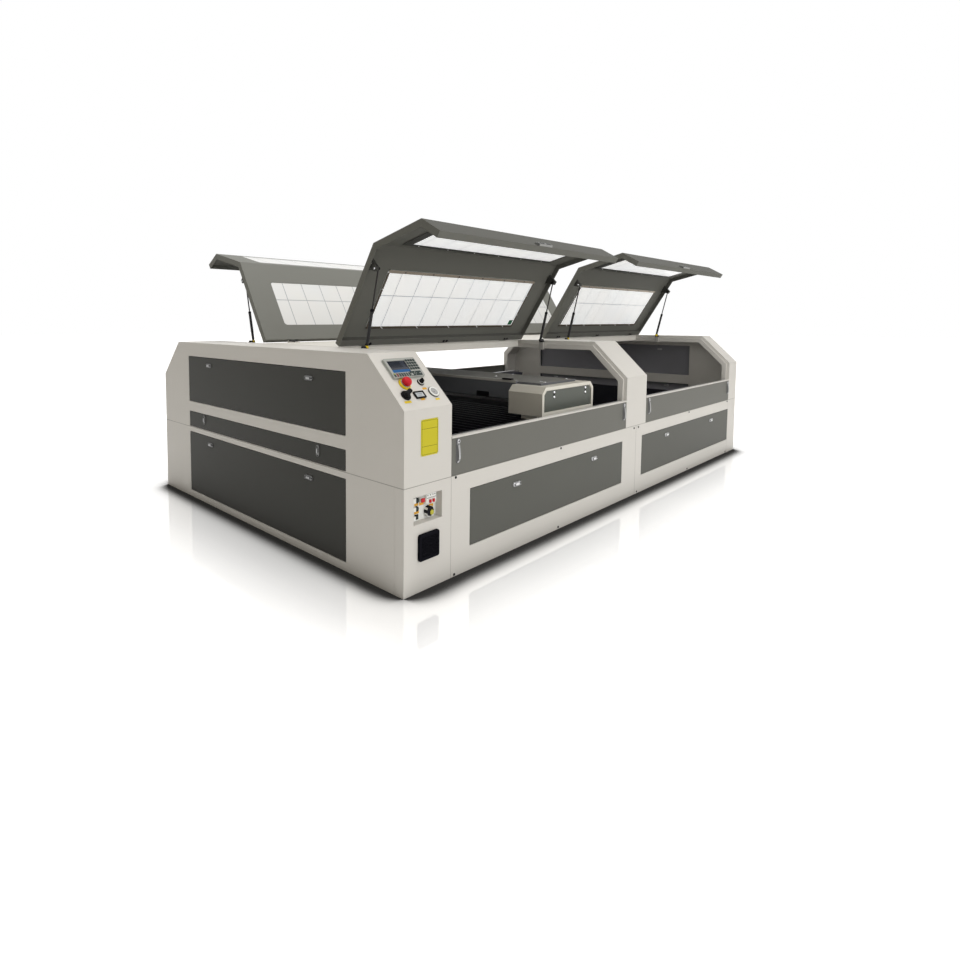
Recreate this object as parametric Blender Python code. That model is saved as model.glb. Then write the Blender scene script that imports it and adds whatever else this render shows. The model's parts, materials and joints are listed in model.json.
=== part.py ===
# Large enclosed laser cutting machine: two base modules, end and centre arches, four gull-wing lids,
# a rack-driven gantry over a slat bed, drop doors and access panels. Metres, +Z up, length along X,
# front towards -Y, origin on the floor at the middle of the footprint.
import bpy
import bmesh
import math
from mathutils import Matrix, Vector

for old in list(bpy.data.objects):
    bpy.data.objects.remove(old, do_unlink=True)

# Overall form
machine_length = 4.140
machine_width = 2.300
base_height = 0.456
shoulder_height = 0.774
top_height = 0.996
slope_run = 0.222
left_end_width = 0.295
right_end_width = 0.188
portal_before_seam = 0.149
portal_width = 0.291
module_seam = 2.146

# Shared clearances
seat_gap = 0.0003
door_gap = 0.003
overrun = 0.020
round_end_share = 0.98

# Sheet-metal walls
base_wall = 0.050
base_floor = 0.020
bulkhead = 0.050
end_plate = 0.040
arch_depth = 0.055
seal_step = 0.022
seal_width = 0.012
column_reach = 0.300
cavity_top_wall = 0.060

# Lids
lid_gap = 0.003
lid_proud = 0.018
lid_depth = 0.034
lid_sheet = 0.003
lid_flange_depth = 0.122
lid_hinge_from_front = 0.803
lid_hinge_rise = 0.008
lid_edge_from_front = 0.795
lid_open_angle = math.radians(59)
lid_hinge_return = 0.038
window_end_margin = 0.180
window_hinge_margin = 0.115
window_bend_margin = 0.146
slope_window_margin = 0.055
slope_window_flange_margin = 0.022
window_corner = 0.020
window_lap = 0.015
window_sheet = 0.004
lid_handle_length = 0.120
lid_handle_height = 0.030
lid_handle_reach = 0.012

# Lid hinges
knuckle_radius = 0.0075
knuckle_length = 0.024
leaf_thickness = 0.003
leaf_width = 0.032
hinge_shares = (0.12, 0.50, 0.88)

# Gas struts
strut_inset = 0.040
strut_foot_from_front = 0.600
strut_foot_rise = 0.003
strut_top_along = 0.4824
strut_top_drop = 0.0496
strut_tube_radius = 0.0085
strut_tube_length = 0.198
strut_neck_radius = 0.005
strut_neck_length = 0.016
strut_rod_radius = 0.004
strut_bore_clearance = 0.0005
strut_bore_bottom = 0.040
strut_rod_cover = 0.030
strut_eye_radius = 0.008
strut_eye_width = 0.012
strut_bracket_height = 0.066
strut_bracket_width = 0.030
lid_bracket_length = 0.060
lid_bracket_tip = 0.022

# Top spine
spine_depth = 0.050
spine_sheet = 0.004
spine_edge_from_front = 0.800

# Doors and panels
door_thickness = 0.0217
door_skin = 0.004
door_rim = 0.014
door_stop = 0.010
drop_door_rise = 0.002
drop_door_to_lid = 0.022
drop_door_gap = 0.002
access_bottom = 0.115
access_drop = 0.081
left_access_inset = 0.135
left_access_before_seam = 0.196
right_access_after_seam = 0.094
right_access_inset = 0.002
end_panel_inset = 0.068
end_upper_rise = 0.168
end_upper_drop = 0.088
end_strip_rise = 0.007
end_strip_height = 0.093
end_lower_bottom = 0.044
end_lower_drop = 0.032

# Latches and handles
latch_length = 0.066
latch_width = 0.024
latch_height = 0.004
latch_key_length = 0.030
latch_key_width = 0.010
latch_key_height = 0.009
latch_drop = 0.046
end_latch_spread = 1.020
lower_latch_spread = 1.010
strip_latch_spread = 1.160
strip_latch_length = 0.055
strip_latch_width = 0.022
access_latch_share = 0.24
paddle_length = 0.110
paddle_width = 0.022
paddle_inset = 0.039
paddle_grip_length = 0.074
paddle_grip_width = 0.012
paddle_grip_height = 0.014
latch_embed = 0.002

# Motion rails and bed
rail_from_front = 0.140
rail_width = 0.120
rail_height = 0.104
guide_width = 0.024
guide_height = 0.018
rail_end_gap = 0.003
bed_from_front = 0.300
bed_height = 0.044
bed_frame = 0.050
slat_pitch = 0.075
slat_thickness = 0.006

# Gantry
gantry_centre = 1.465
housing_length = 0.570
housing_from_front = 0.100
housing_width = 0.220
shoe_height = 0.0264
housing_height = 0.162
housing_chamfer = 0.035
housing_panel_inset = 0.020
housing_panel_step = 0.006
shoe_length = 0.160
shoe_width = 0.100
shoe_spread = 0.360
beam_cover_width = 0.424
beam_cover_rise = 0.070
beam_cover_height = 0.105
beam_cover_chamfer = 0.025
beam_lip = 0.012
beam_lip_height = 0.006
beam_tube_width = 0.200
beam_tube_offset = 0.060
beam_tube_drop = 0.005
beam_plate_reach = 0.155
beam_plate_inset = 0.016

# Cutting head
carriage_width = 0.110
carriage_depth = 0.070
carriage_drop = 0.015
carriage_ear = 0.020
head_length = 0.050
head_width = 0.060
head_block_height = 0.040
nozzle_above_bed = 0.0147
nozzle_length = 0.030
nozzle_radius = 0.014
nozzle_tip_radius = 0.004
head_barrel_radius = 0.020

# Control column
panel_start = 0.052
panel_length = 0.188
panel_down = 0.045
panel_height = 0.107
panel_thickness = 0.012
screen_start = 0.013
screen_down = 0.014
screen_length = 0.108
screen_height = 0.066
screen_recess = 0.003
key_size = 0.011
key_pitch = 0.0155
key_height = 0.002
key_margin = 0.005
keypad_down = 0.012
keypad_columns = 4
keypad_rows = 4
soft_keys = 7
button_hole_radius = 0.0085
button_hole_depth = 0.030
stem_radius = 0.008
stem_depth = 0.015
collar_radius = 0.027
collar_height = 0.008
stop_from_left = 0.096
stop_down = 0.182
stop_head_radius = 0.022
stop_head_height = 0.020
stop_travel = 0.006
stop_side_share = 0.55
stop_shoulder_share = 0.88
stop_shoulder_radius_share = 0.82
stop_crown_radius_share = 0.45
key_from_left = 0.195
key_down = 0.180
key_bezel_radius = 0.015
key_bezel_height = 0.004
key_barrel_radius = 0.011
key_barrel_height = 0.010
key_bow_length = 0.018
key_bow_width = 0.004
key_bow_height = 0.010
selector_from_left = 0.062
selector_down = 0.240
selector_bezel_radius = 0.018
selector_radius = 0.014
selector_height = 0.012
lever_length = 0.044
lever_width = 0.020
lever_height = 0.014
lever_turn = math.radians(-62)
meter_from_left = 0.140
meter_down = 0.245
meter_length = 0.060
meter_height = 0.036
meter_thickness = 0.007
meter_frame = 0.006
meter_recess = 0.003
port_from_left = 0.234
port_down = 0.238
port_radius = 0.026
port_height = 0.007
port_step = 0.018
port_step_height = 0.004
port_bevel_share = 0.4

# Switch recess and fan grille on the base's front
recess_start = 0.058
recess_end = 0.234
recess_height = 0.117
recess_drop = 0.047
recess_depth = 0.040
switch_plate = 0.004
switch_block_height = 0.018
grille_start = 0.083
grille_end = 0.207
grille_height = 0.114
grille_drop = 0.044
grille_thickness = 0.010
grille_frame = 0.014
grille_slots = 7
grille_slot_share = 0.55
grille_slot_depth = 0.007
grille_corner = 0.010

half_length = machine_length / 2
half_width = machine_width / 2
portal_start = module_seam - portal_before_seam
lid_flange_bottom = shoulder_height - lid_flange_depth
lid_hinge_height = top_height + lid_hinge_rise
strut_foot_height = top_height + strut_foot_rise
drop_door_bottom = base_height + drop_door_rise
drop_door_top = lid_flange_bottom - drop_door_to_lid
access_top = base_height - access_drop
recess_top = base_height - recess_drop
recess_bottom = recess_top - recess_height
grille_top = recess_bottom - grille_drop
grille_bottom = grille_top - grille_height


def from_left(distance):
    return distance - half_length


def from_front(distance):
    return distance - half_width


def paint(name, colour, roughness, metallic=0.0):
    finish = bpy.data.materials.new(name)
    finish.use_nodes = True
    shader = finish.node_tree.nodes["Principled BSDF"]
    shader.inputs["Base Color"].default_value = (*colour, 1.0)
    shader.inputs["Roughness"].default_value = roughness
    shader.inputs["Metallic"].default_value = metallic
    return finish


white_paint = paint("white_paint", (0.66, 0.64, 0.59), 0.45)
grey_paint = paint("grey_paint", (0.15, 0.155, 0.135), 0.45)
dark_paint = paint("dark_paint", (0.055, 0.053, 0.047), 0.5)
lid_paint = paint("lid_paint", (0.18, 0.19, 0.18), 0.4)
interior_paint = paint("interior_paint", (0.012, 0.012, 0.018), 0.45)
beige_paint = paint("beige_paint", (0.39, 0.36, 0.31), 0.45)
acrylic = paint("acrylic", (0.72, 0.74, 0.73), 0.25)
black_metal = paint("black_metal", (0.01, 0.01, 0.01), 0.35)
bright_steel = paint("bright_steel", (0.6, 0.6, 0.6), 0.25, 1.0)
black_plastic = paint("black_plastic", (0.012, 0.012, 0.012), 0.4)
panel_grey = paint("panel_grey", (0.3, 0.32, 0.31), 0.4)
red_plastic = paint("red_plastic", (0.5, 0.01, 0.02), 0.3)
yellow_plastic = paint("yellow_plastic", (0.75, 0.5, 0.02), 0.35)


def placed(point, axis, level):
    if axis == "X":
        return (level, point[0], point[1])
    if axis == "Y":
        return (point[0], level, point[1])
    return (point[0], point[1], level)


def add_prism(shape, outline, axis, low, high):
    rings = []
    for level in (low, high):
        rings.append([shape.verts.new(placed(point, axis, level)) for point in outline])
    count = len(outline)
    faces = [shape.faces.new(rings[0]), shape.faces.new(rings[1])]
    for index in range(count):
        after = (index + 1) % count
        faces.append(shape.faces.new((rings[0][index], rings[0][after], rings[1][after], rings[1][index])))
    bmesh.ops.recalc_face_normals(shape, faces=faces)
    return faces


def add_box(shape, x_range, y_range, z_range):
    outline = rectangle(x_range, y_range)
    return add_prism(shape, outline, "Z", *sorted(z_range))


def add_turned(shape, outline, steps, centre=(0, 0, 0)):
    # The outline runs from the axis out and back to the axis, as radius and height.
    rings = []
    for radius, height in outline:
        if radius == 0:
            rings.append([shape.verts.new((centre[0], centre[1], centre[2] + height))])
            continue
        ring = []
        for step in range(steps):
            angle = math.tau * step / steps
            spot_x = centre[0] + radius * math.cos(angle)
            spot_y = centre[1] + radius * math.sin(angle)
            ring.append(shape.verts.new((spot_x, spot_y, centre[2] + height)))
        rings.append(ring)
    faces = []
    for lower, upper in zip(rings, rings[1:]):
        for step in range(steps):
            after = (step + 1) % steps
            corners = [lower[step % len(lower)], lower[after % len(lower)]]
            corners += [upper[after % len(upper)], upper[step % len(upper)]]
            unique = list(dict.fromkeys(corners))
            faces.append(shape.faces.new(unique))
    bmesh.ops.recalc_face_normals(shape, faces=faces)
    return faces


def rectangle(x_range, y_range):
    low_x, high_x = sorted(x_range)
    low_y, high_y = sorted(y_range)
    return [(low_x, low_y), (high_x, low_y), (high_x, high_y), (low_x, high_y)]


def rounded(x_range, y_range, radius, steps=4):
    low_x, high_x = sorted(x_range)
    low_y, high_y = sorted(y_range)
    corners = [
        (high_x - radius, high_y - radius, 0),
        (low_x + radius, high_y - radius, 1),
        (low_x + radius, low_y + radius, 2),
        (high_x - radius, low_y + radius, 3),
    ]
    outline = []
    for centre_x, centre_y, quarter in corners:
        for step in range(steps + 1):
            angle = (quarter + step / steps) * math.pi / 2
            outline.append((centre_x + radius * math.cos(angle), centre_y + radius * math.sin(angle)))
    return outline


def circle(centre_x, centre_y, radius, steps=16):
    turns = [math.tau * step / steps for step in range(steps)]
    return [(centre_x + radius * math.cos(turn), centre_y + radius * math.sin(turn)) for turn in turns]


def oval(centre_x, centre_y, length, width, steps=4):
    # A slot-shaped outline: its longer side along the first coordinate when length is the larger.
    end = min(length, width) / 2 * round_end_share
    x_range = (centre_x - length / 2, centre_x + length / 2)
    y_range = (centre_y - width / 2, centre_y + width / 2)
    return rounded(x_range, y_range, end, steps)


def object_from(shape, name, finish=None, parent=None, smooth=False):
    mesh = bpy.data.meshes.new(name)
    shape.to_mesh(mesh)
    shape.free()
    if finish is not None:
        mesh.materials.append(finish)
    if smooth:
        mesh.shade_smooth()
        mesh.set_sharp_from_angle(angle=math.radians(35))
    thing = bpy.data.objects.new(name, mesh)
    thing.parent = parent
    bpy.context.collection.objects.link(thing)
    return thing


def prism(name, outline, axis, low, high, finish=None, parent=None, smooth=False):
    shape = bmesh.new()
    add_prism(shape, outline, axis, low, high)
    return object_from(shape, name, finish, parent, smooth)


def change(target, tool, operation):
    tool.hide_render = True
    tool.display_type = "WIRE"
    modifier = target.modifiers.new(tool.name, "BOOLEAN")
    modifier.operation = operation
    modifier.object = tool
    modifier.solver = "EXACT"


def cut(target, tool):
    change(target, tool, "DIFFERENCE")


def fuse(target, tool):
    change(target, tool, "UNION")


def boxes(name, ranges, parent=None):
    shape = bmesh.new()
    for x_range, y_range, z_range in ranges:
        add_box(shape, x_range, y_range, z_range)
    return object_from(shape, name, None, parent)


def moved_inwards(points, distance):
    # The open outline moved to its right-hand side by the distance, with its corners mitred.
    lines = []
    for start, end in zip(points, points[1:]):
        along = (Vector(end) - Vector(start)).normalized()
        inward = Vector((along.y, -along.x))
        lines.append((Vector(start) + inward * distance, Vector(end) + inward * distance, along))
    result = [tuple(lines[0][0])]
    for before, after in zip(lines, lines[1:]):
        cross = before[2].x * after[2].y - before[2].y * after[2].x
        gap = after[0] - before[0]
        reach = (gap.x * after[2].y - gap.y * after[2].x) / cross
        result.append(tuple(before[0] + before[2] * reach))
    result.append(tuple(lines[-1][1]))
    return result


def half_line(foot, end_from_front):
    return [
        (from_front(0), foot),
        (from_front(0), shoulder_height),
        (from_front(slope_run), top_height),
        (from_front(end_from_front), top_height),
    ]


def full_line(depth, foot):
    # The arch's outline over the whole width, moved in by the depth.
    half = moved_inwards(half_line(foot, machine_width / 2), depth)[:3]
    return half + [(-y, z) for y, z in reversed(half)]


def stepped(name, length, height, first_depth, rim, second_depth, parent=None, finish=None):
    # A block on local +Y whose back face is inset by the rim and moved by the second depth:
    # towards the back it is a stepped plug, towards the front a folded tray.
    shape = bmesh.new()
    add_box(shape, (-length / 2, length / 2), (0, first_depth), (0, height))
    back = max(shape.faces, key=lambda face: face.calc_center_median().y)
    inset = bmesh.ops.inset_region(shape, faces=[back], thickness=rim)
    shape.faces.ensure_lookup_table()
    centre = [face for face in shape.faces if face not in inset["faces"]]
    centre = max(centre, key=lambda face: face.calc_center_median().y)
    walls = bmesh.ops.extrude_discrete_faces(shape, faces=[centre])
    corners = {vert for face in walls["faces"] for vert in face.verts}
    bmesh.ops.translate(shape, verts=list(corners), vec=(0, second_depth, 0))
    bmesh.ops.recalc_face_normals(shape, faces=shape.faces)
    return object_from(shape, name, finish, parent)


# Where each outer face lies and how a piece on it is turned
face_turns = {"front": 0, "rear": math.pi, "left": -math.pi / 2, "right": math.pi / 2}


def face_place(face, along, height):
    if face in ("front", "rear"):
        side = -1 if face == "front" else 1
        return (along, side * half_width, height)
    side = -1 if face == "left" else 1
    return (side * half_length, along, height)


def put_on_face(thing, face, along, height):
    thing.location = face_place(face, along, height)
    thing.rotation_euler = (0, 0, face_turns[face])


def opening(target, name, face, along, bottom, length, height, wall):
    # A rebate the door's size plus its gap, and a smaller way through behind it.
    grown_length = length + 2 * door_gap
    grown_height = height + 2 * door_gap
    recess_front = overrun
    plug = stepped(
        name,
        grown_length,
        grown_height,
        recess_front + door_thickness + seat_gap,
        door_gap + door_stop,
        wall,
    )
    plug.data.transform(Matrix.Translation((0, -recess_front, 0)))
    put_on_face(plug, face, along, bottom - door_gap)
    cut(target, plug)


def door(name, face, along, bottom, length, height, finish, latches=(), paddles=()):
    # A folded tray with its origin on its hinge line, the lower outer edge.
    tray = stepped(name, length, height, door_thickness, door_rim, door_skin - door_thickness, None, finish)
    put_on_face(tray, face, along, bottom)
    bases = bmesh.new()
    keys = bmesh.new()
    for centre_x, centre_z, size, width in latches:
        add_prism(bases, oval(centre_x, centre_z, size, width), "Y", -latch_height, latch_embed)
        share = latch_key_length / latch_length
        key = oval(centre_x, centre_z, size * share, width * latch_key_width / latch_width)
        add_prism(keys, key, "Y", -latch_key_height, 0)
    for centre_x, centre_z in paddles:
        plate = oval(centre_x, centre_z, paddle_width, paddle_length)
        add_prism(bases, plate, "Y", -latch_height, latch_embed)
        grip_z = centre_z - (paddle_length - paddle_grip_length) / 4
        grip_low = grip_z - paddle_grip_length / 2
        grip_high = grip_z + paddle_grip_length / 2
        grip = [
            (0, grip_low),
            (-latch_key_height, grip_low),
            (-paddle_grip_height, grip_low + paddle_grip_width),
            (-paddle_grip_height, grip_z),
            (-latch_key_height, grip_high),
            (0, grip_high),
        ]
        x_range = (centre_x - paddle_grip_width / 2, centre_x + paddle_grip_width / 2)
        add_prism(keys, grip, "X", *x_range)
    for shape, part in ((bases, "_plates"), (keys, "_grips")):
        tool = object_from(shape, name + part)
        put_on_face(tool, face, along, bottom)
        fuse(tray, tool)
    return tray


# Base modules

def base_module(name, start, end, inner_start, inner_end):
    block = boxes(name, [((start, end), (-half_width, half_width), (0, base_height))])
    block.data.materials.append(white_paint)
    cavity_y = (from_front(base_wall), -from_front(base_wall))
    cavity_z = (base_floor, base_height + overrun)
    cut(block, boxes(name + "_tray_space", [((inner_start, inner_end), cavity_y, cavity_z)]))
    return block


left_bay_end = from_left(left_end_width) - bulkhead + seal_width
left_bay_start = from_left(base_wall)
base_left = base_module(
    "base_left",
    from_left(0),
    from_left(module_seam),
    from_left(left_end_width + seal_width),
    from_left(module_seam - base_wall),
)
right_bay_start = half_length - right_end_width
base_right = base_module(
    "base_right",
    from_left(module_seam) + seat_gap,
    half_length,
    from_left(module_seam) + base_wall,
    right_bay_start - bulkhead - seal_width,
)

bay_y = (from_front(base_wall), -from_front(base_wall))
bay_z = (base_floor, base_height + overrun)
cut(base_left, boxes("left_end_bay", [((left_bay_start, left_bay_end), bay_y, bay_z)]))
right_bay_x = (right_bay_start - seal_width, half_length - base_wall)
cut(base_right, boxes("right_end_bay", [(right_bay_x, bay_y, bay_z)]))

# Front and rear access panels in the lower base
access_height = access_top - access_bottom
access_spans = {
    "left": (
        base_left,
        from_left(left_end_width + left_access_inset),
        from_left(module_seam - left_access_before_seam),
    ),
    "right": (
        base_right,
        from_left(module_seam + right_access_after_seam),
        right_bay_start - right_access_inset,
    ),
}
for face in ("front", "rear"):
    for module, (block, start, end) in access_spans.items():
        name = face + "_" + module + "_access_panel"
        length = end - start
        middle = (start + end) / 2
        opening(block, name + "_opening", face, middle, access_bottom, length, access_height, base_wall)
        spread = length * (1 - 2 * access_latch_share)
        latch_z = access_height - latch_drop
        spots = [(side * spread / 2, latch_z, latch_length, latch_width) for side in (-1, 1)]
        door(name, face, middle, access_bottom, length, access_height, grey_paint, spots)

# Front corner of the left base, a piece of its own that carries the switches and the fan filter
corner_x = (from_left(0), from_left(left_end_width))
corner_y = (from_front(0), from_front(base_wall))
corner_seat = (
    (corner_x[0] - overrun, corner_x[1] + seat_gap),
    (corner_y[0] - overrun, corner_y[1] + seat_gap),
    (-overrun, base_height + overrun),
)
cut(base_left, boxes("corner_seat", [corner_seat]))
switch_column = boxes("switch_column", [(corner_x, corner_y, (0, base_height))])
switch_column.data.materials.append(white_paint)

# Switch recess and its plate
recess_x = (from_left(recess_start), from_left(recess_end))
recess_y = (from_front(-overrun), from_front(recess_depth))
cut(switch_column, boxes("switch_recess", [(recess_x, recess_y, (recess_bottom, recess_top))]))
plate_x = (recess_x[0] + seat_gap, recess_x[1] - seat_gap)
plate_z = (recess_bottom + seat_gap, recess_top - seat_gap)
plate_back = from_front(recess_depth) - seat_gap
plate_front = plate_back - switch_plate
switch_panel = boxes("switch_panel", [(plate_x, (plate_front, plate_back), plate_z)])
switch_panel.data.materials.append(panel_grey)
block_front = plate_front - switch_block_height
block_back = plate_front + switch_plate / 2
recess_length = recess_end - recess_start
# Breaker, rocker switches and sockets: left, right, bottom and top shares of the recess
switch_shares = (
    (0.05, 0.19, 0.72, 0.90),
    (0.05, 0.19, 0.42, 0.57),
    (0.06, 0.18, 0.09, 0.24),
    (0.34, 0.47, 0.70, 0.86),
    (0.55, 0.90, 0.58, 0.93),
    (0.58, 0.80, 0.14, 0.42),
)
switch_blocks = []
for left, right, bottom, top in switch_shares:
    block_x = (recess_x[0] + left * recess_length, recess_x[0] + right * recess_length)
    block_z = (recess_bottom + bottom * recess_height, recess_bottom + top * recess_height)
    switch_blocks.append((block_x, (block_front, block_back), block_z))
fuse(switch_panel, boxes("switch_blocks", switch_blocks))

# Fan filter grille
grille_x = (from_left(grille_start), from_left(grille_end))
grille_y = (from_front(0) - grille_thickness - seat_gap, from_front(0) - seat_gap)
grille_outline = rounded(grille_x, (grille_bottom, grille_top), grille_corner)
fan_grille = prism("fan_grille", grille_outline, "Y", *grille_y, black_plastic)
slot_pitch = (grille_top - grille_bottom - 2 * grille_frame) / grille_slots
slot_x = (grille_x[0] + grille_frame, grille_x[1] - grille_frame)
slot_y = (grille_y[0] - overrun, grille_y[0] + grille_slot_depth)
grille_cuts = []
for index in range(grille_slots):
    slot_bottom = grille_bottom + grille_frame + (index + (1 - grille_slot_share) / 2) * slot_pitch
    grille_cuts.append((slot_x, slot_y, (slot_bottom, slot_bottom + grille_slot_share * slot_pitch)))
cut(fan_grille, boxes("grille_slots", grille_cuts))


# End enclosures and centre arch

def strut_foot_blocks(name, column_edge, inward):
    # Brackets that hold the feet of the gas struts just inside the column's edge.
    shape = bmesh.new()
    near = column_edge + inward * (seal_width - door_gap)
    far = column_edge + inward * (strut_inset - strut_eye_width / 2 - seat_gap)
    foot_y = from_front(strut_foot_from_front)
    for side in (1, -1):
        half = strut_bracket_width / 2
        outline = [
            (side * foot_y - half, strut_foot_height - strut_bracket_height),
            (side * foot_y + half, strut_foot_height - strut_bracket_height),
            (side * foot_y + half, strut_foot_height - half),
            (side * foot_y + strut_eye_radius / 2, strut_foot_height + strut_eye_radius),
            (side * foot_y - strut_eye_radius / 2, strut_foot_height + strut_eye_radius),
            (side * foot_y - half, strut_foot_height - half),
        ]
        add_prism(shape, outline, "X", *sorted((near, far)))
    return object_from(shape, name)


def seal_rebate(name, low, high, foot):
    outer = full_line(-overrun, foot - overrun)
    inner = full_line(seal_step, foot - overrun)
    return prism(name, outer + inner[::-1], "X", low, high)


enclosure_foot = base_height + seat_gap
left_inner = from_left(left_end_width)
left_enclosure = prism(
    "left_enclosure",
    full_line(0, enclosure_foot),
    "X",
    from_left(0),
    left_inner + seal_width,
    white_paint,
)
cut(left_enclosure, seal_rebate("left_seal_rebate", left_inner, left_inner + overrun, enclosure_foot))
cavity_y = (from_front(column_reach), -from_front(column_reach))
left_cavity_x = (from_left(end_plate), left_inner + overrun)
cavity_z = (enclosure_foot - overrun, top_height - cavity_top_wall)
cut(left_enclosure, boxes("left_cavity", [(left_cavity_x, cavity_y, cavity_z)]))
fuse(left_enclosure, strut_foot_blocks("left_strut_feet", left_inner, 1))

right_inner = half_length - right_end_width
right_enclosure = prism(
    "right_enclosure",
    full_line(0, enclosure_foot),
    "X",
    right_inner - seal_width,
    half_length,
    white_paint,
)
cut(right_enclosure, seal_rebate("right_seal_rebate", right_inner - overrun, right_inner, enclosure_foot))
arch_space = full_line(arch_depth, enclosure_foot - overrun)
right_cavity = prism("right_cavity", arch_space, "X", right_inner - overrun, half_length - end_plate)
cut(right_enclosure, right_cavity)
fuse(right_enclosure, strut_foot_blocks("right_strut_feet", right_inner, -1))

portal_left = from_left(portal_start)
portal_right = portal_left + portal_width
arch_outline = full_line(0, enclosure_foot) + full_line(arch_depth, enclosure_foot)[::-1]
center_portal = prism(
    "center_portal",
    arch_outline,
    "X",
    portal_left - seal_width,
    portal_right + seal_width,
    white_paint,
)
cut(center_portal, seal_rebate("portal_left_rebate", portal_left - overrun, portal_left, enclosure_foot))
cut(center_portal, seal_rebate("portal_right_rebate", portal_right, portal_right + overrun, enclosure_foot))
fuse(center_portal, strut_foot_blocks("portal_left_strut_feet", portal_left, -1))
fuse(center_portal, strut_foot_blocks("portal_right_strut_feet", portal_right, 1))

# End panels: upper cover, pass-through strip and lower cover
end_length = machine_width - 2 * (column_reach + end_panel_inset)
end_upper_bottom = base_height + end_upper_rise
end_upper_top = top_height - end_upper_drop
end_strip_bottom = base_height + end_strip_rise
end_strip_top = end_strip_bottom + end_strip_height
end_lower_top = base_height - end_lower_drop
for face, enclosure, base in (("left", left_enclosure, base_left), ("right", right_enclosure, base_right)):
    rows = (
        ("upper", enclosure, end_plate, end_upper_bottom, end_upper_top, end_latch_spread),
        ("slot", enclosure, end_plate, end_strip_bottom, end_strip_top, strip_latch_spread),
        ("lower", base, base_wall, end_lower_bottom, end_lower_top, lower_latch_spread),
    )
    for row, carrier, wall, bottom, top, spread in rows:
        name = face + "_" + row + "_panel"
        height = top - bottom
        opening(carrier, name + "_opening", face, 0, bottom, end_length, height, wall)
        if row == "slot":
            latch_size = (height / 2 + latch_width / 2, strip_latch_width, strip_latch_length)
        else:
            latch_size = (height - latch_drop, latch_length, latch_width)
        spots = [(side * spread / 2, *latch_size) for side in (-1, 1)]
        door(name, face, 0, bottom, end_length, height, dark_paint, spots)

# Drop doors between the columns
drop_spans = {
    "left": (left_inner + drop_door_gap, portal_left - drop_door_gap),
    "right": (portal_right + drop_door_gap, right_inner - drop_door_gap),
}
drop_height = drop_door_top - drop_door_bottom
for face in ("front", "rear"):
    for module, (start, end) in drop_spans.items():
        length = end - start
        grip_z = drop_height - paddle_length / 2 - paddle_width / 2
        grips = [(side * (length / 2 - paddle_inset), grip_z) for side in (-1, 1)]
        name = face + "_" + module + "_drop_door"
        door(name, face, (start + end) / 2, drop_door_bottom, length, drop_height, grey_paint, (), grips)

# Top spine between the lid hinges: one folded channel whose top runs over the centre arch
spine_y = (from_front(spine_edge_from_front), -from_front(spine_edge_from_front))
spine_low = top_height - spine_depth
spine_under = top_height - spine_sheet
spine_section = [
    (spine_y[0], spine_low),
    (spine_y[0], top_height),
    (spine_y[1], top_height),
    (spine_y[1], spine_low),
    (spine_y[1] - spine_sheet, spine_low),
    (spine_y[1] - spine_sheet, spine_under),
    (spine_y[0] + spine_sheet, spine_under),
    (spine_y[0] + spine_sheet, spine_low),
]
spine_gap = seal_width + seat_gap
spine_x = (left_inner + spine_gap, right_inner - spine_gap)
top_spine = prism("top_spine", spine_section, "X", *spine_x, white_paint)
arch_x = (portal_left - spine_gap, portal_right + spine_gap)
notch_z = (spine_low - overrun, spine_under)
cut(top_spine, boxes("spine_notch", [(arch_x, (-half_width, half_width), notch_z)]))
seat_y = (spine_y[0] - seat_gap, spine_y[1] + seat_gap)
seat_z = (spine_under - seat_gap, top_height + overrun)
cut(center_portal, boxes("spine_seat", [((arch_x[0] - overrun, arch_x[1] + overrun), seat_y, seat_z)]))

# Lids, each with its windows, hinge knuckles and strut brackets, built shut and swung open on its hinge
hinge_y = from_front(lid_hinge_from_front)
slope_angle = math.atan2(top_height - shoulder_height, slope_run)
lid_line = half_line(lid_flange_bottom, lid_edge_from_front)
lid_outer = moved_inwards(lid_line, -lid_proud)
lid_rim = moved_inwards(lid_line, lid_depth - lid_proud)
pocket_line = half_line(lid_flange_bottom + lid_sheet, lid_edge_from_front - lid_hinge_return)
pocket_outer = moved_inwards(pocket_line, lid_sheet - lid_proud)
pocket_inner = moved_inwards(pocket_line, lid_depth - lid_proud + overrun)
lid_spans = {
    "left": (left_inner + lid_gap, portal_left - lid_gap),
    "right": (portal_right + lid_gap, right_inner - lid_gap),
}


def lid_frame(points, side):
    return [(side * (y - hinge_y), z - lid_hinge_height) for y, z in points]


def window_outline(x_range, y_range, grow):
    wide = (x_range[0] - grow, x_range[1] + grow)
    deep = sorted(y_range)
    return rounded(wide, (deep[0] - grow, deep[1] + grow), window_corner)


def lid_knuckle(edge_y, side):
    # A tab from inside the lid's rim to the hinge line, with a round end.
    steps = 6
    arc = [math.pi * (step / steps - 0.5) for step in range(steps + 1)]
    end = [(side * knuckle_radius * math.cos(turn), knuckle_radius * math.sin(turn)) for turn in arc]
    root = edge_y - side * lid_sheet
    return [(root, -knuckle_radius), *end, (root, knuckle_radius)]


def spine_knuckle(side):
    # A round eye on the hinge line rolled from a leaf that lies on the spine.
    steps = 9
    leaf_bottom = top_height - leaf_thickness / 2 - lid_hinge_height
    leaf_top = top_height + leaf_thickness - lid_hinge_height
    outline = [(side * leaf_width, leaf_bottom), (0, leaf_bottom)]
    for step in range(1, steps + 1):
        turn = 1.5 * math.pi * step / steps
        outline.append((-side * knuckle_radius * math.sin(turn), -knuckle_radius * math.cos(turn)))
    return outline + [(side * knuckle_radius, leaf_top), (side * leaf_width, leaf_top)]


def swung(along, drop, angle):
    # A point given along the shut lid from its hinge and below it, after the lid has swung open.
    across = -along * math.cos(angle) - drop * math.sin(angle)
    up = along * math.sin(angle) - drop * math.cos(angle)
    return across, up


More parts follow.
